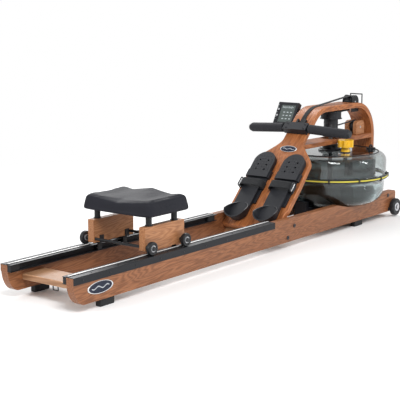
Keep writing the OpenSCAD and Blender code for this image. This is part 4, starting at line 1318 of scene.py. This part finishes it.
@dataclass
class Drive(Group):
    """Belt drum, belts, elastic cord, rollers and guard."""

    roller_r: float = 0.026
    wound_r: float = 0.044
    belt_lift: float = 0.0003 + 0.0008
    belt_section: tuple[float, float] = (0.0218, 0.0015)
    twist_done: float = 0.62
    cord_bend: float = 0.028
    cord_d: float = 0.006

    def build(self) -> None:
        """Drum with wound belt, belt runs, elastic cord, pulleys and guard."""
        f, (x, y) = self.frame, self.tank
        low, high = f.box("belt_drum")
        base, top = float(low[2]), float(high[2])
        belt_z = top - 0.004 - 0.0135
        spool = [(0.0, base), (0.0355, base), (0.036, base + 0.003), (0.031, base + 0.0045), (0.030, base + 0.008)]
        spool += [(0.030 + 0.0011 * (k % 2), base + 0.01 + 0.003 * k) for k in range(16)]
        spool += [(0.030, belt_z - 0.0175), (0.0475, belt_z - 0.0168), (0.048, belt_z - 0.0138),
                  (0.0445, belt_z - 0.0127)]
        wound = [(0.0438 + 0.0003 * (k % 2), belt_z - 0.011 + 0.022 * k / 14) for k in range(15)]
        upper = [(0.0445, belt_z + 0.0132), (0.048, belt_z + 0.0139), (0.0475, top - 0.0004), (0.02, top), (0.0, top)]
        f.place(lathe("belt_drum_turned", spool + wound + upper, (x, y, 0), steps=96), "drum", PAINT.PLASTIC,
                "black_plastic", ["belt_drum"])
        self.belts(belt_z)
        self.elastic_cord()
        f.softened("roller_bracket", "frame", PAINT.COAT, "dark_steel", 0.001)
        low, high = f.box("top_roller")
        centre, half = (low + high) / 2, float(high[1])
        sheave = [(0.0052, -half), (0.0285, -half), (0.029, -half + 0.001), (0.0285, -half + 0.0028),
                  (0.0262, -half + 0.0034), (0.0259, 0.0), (0.0262, half - 0.0034), (0.0285, half - 0.0028),
                  (0.029, half - 0.001), (0.0285, half), (0.0052, half), (0.0052, -half)]
        f.place(lathe("top_sheave", sheave, tuple(centre), "y", 72), "roller_at_top", PAINT.PLASTIC, "black_plastic",
                ["top_roller"])
        f.softened("bungee_pulley", "cord_pulley", PAINT.PLASTIC, "black_plastic", 0.0008)
        f.paint(PAINT.COAT, "wire_guard")

    def belts(self, belt_z: float) -> None:
        """Woven belt: wound turn to the top roller, then over the neck to the handle.

        Args:
            belt_z: Height of the belt on the drum.
        """
        f = self.frame
        low, high = f.box("top_roller")
        cx, cz = float(low[0] + high[0]) / 2, float(low[2] + high[2]) / 2
        ride = self.roller_r + self.belt_lift
        wound = self.wound_r + self.belt_lift
        start = Vector((cx - 0.004, 0, cz - ride))
        meet = math.acos(wound / (start.x - self.tank[0]))
        end = Vector((self.tank[0] + wound * math.cos(meet), wound * math.sin(meet), belt_z))
        line, sides = [], []
        for a in np.radians(np.linspace(98, -98, 22)):
            line.append((cx + ride * math.cos(a), 0, cz + ride * math.sin(a)))
            sides.append((0, 1, 0))
        for k in range(1, 33):
            t = k / 32
            turn = min(1.0, t / self.twist_done)
            a = math.pi / 2 * turn * turn * (3 - 2 * turn)
            line.append(tuple(start.lerp(end, t)))
            sides.append((0, math.cos(a), math.sin(a)))
        f.place(ribbon("drive_belt_return", line, sides, *self.belt_section, 7), "frame", PAINT.BELT, "belt_web",
                ["belt_return"])
        neck, over = self.plan.neck, self.plan.neck_r + self.belt_lift
        away = math.hypot(cx - 0.004 - neck[0], cz + ride - neck[1])
        level = math.atan2(cz + ride - neck[1], cx - 0.004 - neck[0]) + math.acos(over / away)
        line = [Vector((cx - 0.004, 0, cz + ride)).lerp(Vector((neck[0] + over * math.cos(level), 0,
                                                                neck[1] + over * math.sin(level))), t)
                for t in np.linspace(0, 1, 12)]
        line += [Vector((neck[0] + over * math.cos(a), 0, neck[1] + over * math.sin(a)))
                 for a in np.linspace(level, math.radians(135), 14)[1:]]
        first, last = Vector(self.slope.at(0.49, 0.0012)), Vector(self.slope.at(0.443, 0.005))
        line += [first.lerp(last, t) for t in np.linspace(0, 1, 14)]
        belt = ribbon("drive_belt", [tuple(p) for p in line], [(0, 1, 0)] * len(line), *self.belt_section, 7)
        f.place(belt, "", PAINT.BELT, "belt_web", ["belt_run"])
        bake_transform(belt)

    def elastic_cord(self) -> None:
        """Braided cord from the drum's spool round the pulley and down to the deck."""
        f, (x, y) = self.frame, self.tank
        low, high = f.box("bungee_pulley")
        cx, cz, r = float(low[0] + high[0]) / 2, float(low[2] + high[2]) / 2, self.cord_bend
        base, deck = float(f.box("belt_drum")[0][2]), float(f.box("deck_plank")[1][2])
        start = Vector((x + 0.006, -0.0333, base + 0.05))
        arc = [Vector((cx + r * math.cos(a), 0, cz + r * math.sin(a))) for a in np.radians(np.linspace(90, -90, 25))]
        path = [start.lerp(arc[0], t) for t in np.linspace(0, 1, 14)[:-1]] + arc
        end = [Vector((x + 0.108, 0, deck + 0.01)), Vector((x + 0.092, 0, deck + 0.005)), Vector((x + 0.09, 0, deck)),
               Vector((x + 0.09, 0, deck - 0.006))]
        path += [arc[-1].lerp(end[0], t) for t in np.linspace(0, 1, 7)[1:]] + end[1:]
        made = tube("elastic_cord", [tuple(p) for p in path], self.cord_d / 2, sides=16)
        f.place(made, "frame", PAINT.CORD, "cord_rubber", ["bungee_cord"])


@dataclass
class Handle(Group):
    """Handle with its clamp and its rest on the neck."""

    middle: tuple[float, float] = (0.434, 0.015)
    lean: float = 31.0
    sweep: float = 7.0
    grip_length: float = 0.19
    grip_r: float = 0.0194

    def build(self) -> None:
        """Bar, ribbed foam grips with end caps, clamp block and its rest."""
        f = self.frame
        f.paint(PAINT.COAT, "handle_bar")
        at = Vector(self.slope.at(*self.middle))
        turn = (Matrix.Rotation(math.radians(self.lean), 4, "Y") @ Matrix.Rotation(math.radians(-self.sweep), 4, "Z")
                @ Matrix.Rotation(math.radians(-90), 4, "X"))
        length, radius, grips, caps = self.grip_length, self.grip_r, [], []
        profile = [(0.0112, 0.006), (radius - 0.001, 0.006), (radius, 0.008)]
        profile += [(radius - 0.0005 * (k % 2), 0.012 + 0.0032 * k) for k in range(50)]
        profile += [(radius, length - 0.016), (radius - 0.001, length - 0.012), (radius - 0.0035, length - 0.0095),
                    (0.0112, length - 0.0092)]
        cap = [(radius - 0.0038, length - 0.0094), (radius - 0.0036, length - 0.005),
               (radius - 0.006, length - 0.0012), (0.006, length - 0.0004), (0.0, length - 0.0006)]
        for side in (1, -1):
            flip = Matrix.Diagonal((1, side, 1, 1))
            stand = flip @ Matrix.Translation(Vector((at.x, 0.055, at.z))) @ turn
            for store, shape, kind in ((grips, profile, "grip"), (caps, cap, "cap")):
                part = lathe(f"{kind}_{side}", shape, (0, 0, 0), steps=48)
                part.data.transform(stand)
                tidy_normals(part.data)
                store.append(part)
        f.place(joined("foam_grips", grips), "handle", PAINT.FOAM, "grip_foam", ["handle_grips"])
        f.place(joined("grip_caps", caps), "handle", PAINT.PLASTIC, "black_plastic")
        f.softened("handle_clamp", "handle", PAINT.CHARCOAL, "black_plastic", 0.0035)
        f.softened("handle_cradle", "frame", PAINT.RUBBER, "black_rubber", 0.001)
        spots = [(self.slope.at(self.middle[0] + s, 0.0318, y), self.slope.out)
                 for s in (-0.011, 0.011) for y in (-0.042, 0.042)]
        f.place(f.repeat.grow("clamp_screws", spots, fixing(Head.ROUND, 0.0035, 0.0018), PAINT.BOLT), "handle",
                slot="bolt_steel")


@dataclass
class Monitor(Group):
    """Monitor on its arm."""

    top: Point = (0.559, 0.111, 0.526)
    lean: float = math.pi / 6

    def build(self) -> None:
        """Case, window, digits, keys and arm."""
        f = self.frame
        f.softened("monitor_case", "monitor", PAINT.PLASTIC, "black_plastic", 0.003)
        f.paint(PAINT.SCREEN, "monitor_screen")
        f.paint(PAINT.COAT, "monitor_arm")
        f.paint(PAINT.SILVER, "button_upper", "button_lower")
        c, s = math.cos(self.lean), math.sin(self.lean)
        up, out, top = Vector((s, 0, c)), Vector((-c, 0, s)), Vector(self.top)
        marks = [(0.023, -0.026 + 0.0062 * k, 0.004 + 0.006 * abs(math.sin(k * 1.7)), 0.0028, -0.00145)
                 for k in range(9)]
        marks += [(0.046 + 0.015 * row, -0.023 + 0.017 * column, 0.0042, 0.0085, -0.00145)
                  for row in range(3) for column in range(3)]
        marks += [(0.014 + 0.011 * k, 0.046, 0.0022, 0.0042, 0.0001) for k in range(7) if k not in (2, 4)]
        points, faces = [], []
        for down, across, tall, wide, n in marks:
            start = len(points)
            for lift in (0.0, 0.0003):
                for u, v in ((-1, -1), (1, -1), (1, 1), (-1, 1)):
                    sideways = Vector((0, across + u * wide / 2, 0))
                    points.append(top - up * (down + v * tall / 2) + sideways + out * (n + lift))
            faces += [tuple(start + i for i in face) for face in
                      ((0, 1, 2, 3), (4, 5, 6, 7), (0, 1, 5, 4), (1, 2, 6, 5), (2, 3, 7, 6), (3, 0, 4, 7))]
        f.place(surface("monitor_marks", points, faces, False), "monitor", PAINT.LABEL, "silver_plastic")


@dataclass
class Wheeled(Group):
    """A group with turned rollers or wheels."""

    bore: float = 0.0051

    def wheels(self, node: str, body: str, width: float, rim: float, sides: Sequence[int] = (-1, 1)) -> None:
        """Turned rollers: a crowned tyre, a light hub ring and a dark bearing core.

        Args:
            node: The CAD node they stand for.
            body: Its body.
            width: Width of a roller.
            rim: Depth of its tyre's crown.
            sides: Sides of the object that have one.
        """
        f, low, high = self.frame, *self.frame.box(node)
        x, z, r = float(low[0] + high[0]) / 2, float(low[2] + high[2]) / 2, float(high[2] - low[2]) / 2
        tyres, hubs, cores = [], [], []
        for side in sides:
            y = side * (max(abs(float(low[1])), abs(float(high[1]))) - width / 2)
            h = width / 2
            wall = [(r * 0.5, h - 0.0022), (r * 0.6, h - 0.0022), (r * 0.7, h), (r - rim, h),
                    (r - rim * 0.3, h - rim * 0.35), (r, h - rim)]
            tyre = [(a, -b) for a, b in wall] + wall[::-1] + [(r * 0.5, -h + 0.0022)]
            hub = [(r * 0.28, -h + 0.0005), (r * 0.48, -h + 0.0002), (r * 0.5, -h + 0.0012), (r * 0.5, h - 0.0012),
                   (r * 0.48, h - 0.0002), (r * 0.46, h - 0.001), (r * 0.32, h - 0.001), (r * 0.28, h - 0.0005),
                   (r * 0.28, -h + 0.0005)]
            core = [(self.bore, -h + 0.0016), (r * 0.28, -h + 0.0016), (r * 0.28, h - 0.0016),
                    (self.bore, h - 0.0016), (self.bore, -h + 0.0016)]
            for store, shape, kind in ((tyres, tyre, "tyre"), (hubs, hub, "hub"), (cores, core, "core")):
                store.append(lathe(f"{node}_{kind}_{side}", shape, (x, y, z), "y", 56))
        f.place(joined(node + "_tyres", tyres), body, PAINT.TYRE, "tyre_rubber", [node])
        f.place(joined(node + "_hubs", hubs), body, PAINT.HUB, "silver_plastic")
        f.place(joined(node + "_cores", cores), body, PAINT.PLASTIC, "black_plastic")


@dataclass
class Seat(Wheeled):
    """Sliding seat: padded top, steel frame, rollers and guide rollers."""

    roller_width: float = 0.016
    crown: float = 0.0036

    def build(self) -> None:
        """Padded seat, posts, axles, rollers and guide rollers."""
        f = self.frame
        pad = SeatPad(f).build()
        f.place(pad, "seat_carriage", PAINT.SEAT, "seat_cover", ["seat_pad"])
        f.softened("seat_frame", "seat_carriage", PAINT.COAT, "dark_steel", 0.001)
        f.softened("carriage_rods", "seat_carriage", PAINT.COAT, "dark_steel", 0.0008)
        f.softened("guide_brackets", "seat_carriage", PAINT.COAT, "dark_steel", 0.0006)
        for node, body in (("rear_rollers", "rear_roller_pair"), ("front_rollers", "front_roller_pair")):
            self.wheels(node, body, self.roller_width, self.crown)
        for node, body in (("rear_guides", "rear_guide_pair"), ("front_guides", "front_guide_pair")):
            f.softened(node, body, PAINT.TYRE, "tyre_rubber", 0.0012)


@dataclass
class TransportWheels(Wheeled):
    """Two wheels for moving the rower about."""

    width: float = 0.022
    crown: float = 0.005

    def build(self) -> None:
        """Wheels under the tank end, with tyres and hubs."""
        for side, sign in (("left", 1), ("right", -1)):
            self.wheels(f"wheel_{side}", f"{side}_wheel", self.width, self.crown, (sign,))


@dataclass
class SeatPad:
    """Sculpted foam pad under a stretched cover."""

    frame: Frame
    height: float = 0.0535
    notch: tuple[float, float] = (0.014, 0.05)
    bowls: tuple[float, float, float] = (0.009, 0.085, 0.042)
    ridge: float = 0.008
    lip: float = 0.004

    def __post_init__(self) -> None:
        """Notes the pad's box."""
        low, high = self.frame.box("seat_pad")
        self.low, self.high = low, high
        self.mid = float(low[0] + high[0]) / 2
        self.half = (float(high[0] - low[0]) / 2, float(high[1]))

    def crown(self, x: float, y: float) -> float:
        """Gives the top's height over the pad's underside.

        Args:
            x: Where along the floor.
            y: Where across it.

        Returns:
            The height there.
        """
        v = min(1.0, max(0.0, (x - float(self.low[0]) - 0.009) / 0.204))
        rise = v * v * (3 - 2 * v)
        (dip, wide), (deep, apart, round_off) = self.notch, self.bowls
        middle, bowl = math.exp(-(y / wide) ** 2), math.exp(-((abs(y) - apart) / round_off) ** 2)
        edge = (abs(y) / 0.153) ** 4
        return (self.height - dip * middle * (1 - v) ** 1.3 - deep * bowl * (0.35 + 0.65 * math.sin(math.pi * v))
                + self.ridge * middle * rise + self.lip * edge * v)

    def shell(self) -> bpy.types.Object:
        """Models the pad a little slimmer than its final size."""
        steps, points, faces = 128, [], []
        rows = [(0.0, 0.62, 0.01), (0.0, 0.9, 0.01), (0.0025, 1.0, 0.02), (0.0, 1.0, 0.06), (0.0003, 1.0, 0.2),
                (0.0018, 1.0, 0.4), (0.0035, 1.0, 0.6), (0.0048, 1.0, 0.76), (0.0070, 1.0, 0.87), (0.0120, 1.0, 0.95),
                (0.019, 1.0, 0.985), (0.028, 1.0, 1.0)]
        rows += [(0.028, scale, 1.0) for scale in (0.88, 0.74, 0.58, 0.42, 0.26, 0.12, 0.01)]
        for inset, scale, share in rows:
            a, b = self.half[0] + 0.0005 - inset, self.half[1] + 0.0005 - inset
            for k in range(steps):
                t = math.tau * k / steps
                c, s = math.cos(t), math.sin(t)
                power = 0.15
                px = math.copysign(abs(c) ** power, c) * a * scale
                py = math.copysign(abs(s) ** power, s) * b * scale
                z = self.crown(self.mid + px, py) * share
                points.append((self.mid + px, py, float(self.low[2]) + z))
        for row in range(len(rows) - 1):
            for k in range(steps):
                n = (k + 1) % steps
                faces.append((row * steps + k, row * steps + n, (row + 1) * steps + n, (row + 1) * steps + k))
        faces.append(tuple(reversed(range(steps))))
        faces.append(tuple((len(rows) - 1) * steps + k for k in range(steps)))
        return surface("seat_pad_cover", points, faces)

    def build(self) -> bpy.types.Object:
        """Gives the finished pad: filled out by a cloth simulation, then smoothed."""
        pad = self.shell()
        remesh = pad.modifiers.new("even", "REMESH")
        remesh.mode, remesh.voxel_size = "VOXEL", 0.0045
        self.apply(pad)
        self.inflate(pad)
        smooth = pad.modifiers.new("smooth", "SUBSURF")
        smooth.levels = smooth.render_levels = 1
        self.apply(pad)
        for face in pad.data.polygons:
            face.use_smooth = True
        return pad

    @staticmethod
    def apply(pad: bpy.types.Object) -> None:
        """Turns the pad's modifiers into plain mesh.

        Args:
            pad: The pad.
        """
        bpy.context.view_layer.update()
        mesh = bpy.data.meshes.new_from_object(pad.evaluated_get(bpy.context.evaluated_depsgraph_get()))
        pad.modifiers.clear()
        pad.data = mesh

    def inflate(self, pad: bpy.types.Object) -> None:
        """Runs the cover as cloth under a little pressure, and caps how far it moves.

        Args:
            pad: The pad.
        """
        start = np.array([v.co for v in pad.data.vertices])
        group = pad.vertex_groups.new(name="held")
        low = float(self.low[2])
        for v in pad.data.vertices:
            if v.co.z < low + 0.006:
                group.add([v.index], 1.0, "REPLACE")
        cloth = pad.modifiers.new("cover", "CLOTH")
        settings = cloth.settings
        settings.vertex_group_mass = "held"
        settings.use_pressure, settings.uniform_pressure_force = True, 4.0
        settings.quality, settings.mass = 5, 0.3
        settings.tension_stiffness = settings.compression_stiffness = 40.0
        settings.effector_weights.gravity = 0.0
        cloth.point_cache.frame_start, cloth.point_cache.frame_end = 1, 20
        scene = bpy.context.scene
        for frame in range(1, 21):
            scene.frame_set(frame)
        mesh = bpy.data.meshes.new_from_object(pad.evaluated_get(bpy.context.evaluated_depsgraph_get()))
        pad.modifiers.clear()
        scene.frame_set(1)
        end = np.array([v.co for v in mesh.vertices])
        moved = end - start
        far = np.linalg.norm(moved, axis=1, keepdims=True)
        end = start + moved * np.minimum(1.0, 0.003 / np.maximum(far, 1e-9))
        mesh.vertices.foreach_set("co", end.astype(np.float32).ravel())
        pad.data = mesh
        log.info("cover filled out by up to %.4f m", float(np.linalg.norm(end - start, axis=1).max()))


# ---------------------------------------------------------------- studio


@dataclass
class Studio:
    """Floor, light and camera."""

    floor_half: float = 14.0
    lens: float = 96.3855
    sensor: float = 36.0
    azimuth: float = -52.387
    elevation: float = 10.008
    stand: Point = (-3.2851, -2.3707, 0.9086)
    sky: tuple[float, float] = (0.62, 1.0)

    def floor(self) -> None:
        """Plain pale floor with a far, soft edge."""
        size = self.floor_half
        corners = [(-size, -size, 0), (size, -size, 0), (size, size, 0), (-size, size, 0)]
        made = surface("floor", corners, [(0, 1, 2, 3)])
        s = Shader("floor_paper")
        cloud = s.noise(s.place(), 0.8, 2)
        away = s.node("ShaderNodeVectorMath", {"operation": "LENGTH"}, i0=s.place()).outputs["Value"]
        s.finish(Base_Color=s.mix(cloud, (0.9, 0.9, 0.9), (0.93, 0.93, 0.93)), Roughness=0.9,
                 Alpha=s.span(away, 1.5, 2.6, 1.0, 0.0))
        made.data.materials.append(s.material)
        made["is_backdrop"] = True

    def lights(self) -> None:
        """A bright sky for fill with two big soft boxes."""
        world = bpy.data.worlds.new("studio")
        bpy.context.scene.world = world
        world.use_nodes = True
        tree = world.node_tree
        seen, split = tree.nodes.new("ShaderNodeLightPath"), tree.nodes.new("ShaderNodeMapRange")
        split.inputs["To Min"].default_value, split.inputs["To Max"].default_value = self.sky
        tree.links.new(seen.outputs["Is Camera Ray"], split.inputs["Value"])
        tree.links.new(split.outputs[0], tree.nodes["Background"].inputs[1])
        tree.nodes["Background"].inputs[0].default_value = (1, 1, 1, 1)
        for name, place, size, height, power in (("key", (-2.4, -2.6, 3.6), 1.8, 1.8, 150.0),
                                                 ("rim", (1.8, 2.6, 2.6), 2.0, 2.0, 90.0),
                                                 ("side", (-3.6, 1.2, 1.8), 1.4, 1.4, 40.0),
                                                 ("strip", (1.6, -2.6, 1.5), 0.12, 1.9, 26.0)):
            light = bpy.data.lights.new(name, "AREA")
            light.shape = "RECTANGLE"
            light.energy, light.size, light.size_y = power, size, height
            lamp = bpy.data.objects.new(name, light)
            lamp.location = place
            lamp.rotation_euler = (Vector((0.1, 0, 0.2)) - Vector(place)).to_track_quat("-Z", "Y").to_euler()
            bpy.context.scene.collection.objects.link(lamp)
            lamp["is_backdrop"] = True

    def camera(self) -> None:
        """Camera at the sitting rower's right, a little above the seat."""
        data = bpy.data.cameras.new("view")
        data.lens, data.sensor_width = self.lens, self.sensor
        camera = bpy.data.objects.new("view", data)
        azimuth, elevation = math.radians(self.azimuth), math.radians(self.elevation)
        back = Vector((math.sin(azimuth) * math.cos(elevation), -math.cos(azimuth) * math.cos(elevation),
                       math.sin(elevation)))
        camera.location = self.stand
        camera.rotation_euler = back.to_track_quat("Z", "Y").to_euler()
        data.clip_end = 60
        bpy.context.scene.collection.objects.link(camera)
        bpy.context.scene.camera = camera
        bpy.context.scene.view_settings.view_transform = "Standard"


def main() -> None:
    """Builds the scene."""
    logging.basicConfig(level=logging.INFO, format="%(message)s")
    plan = Plan()
    for group in (Woodwork, Tracks, Badges, FootRests, WaterTank, Drive, Handle, Monitor, Seat, TransportWheels):
        log.info("building %s", group.__name__)
        group(plan).build()
    studio = Studio()
    studio.floor()
    studio.lights()
    studio.camera()
    frame = plan.frame


if __name__ == "__main__":
    main()
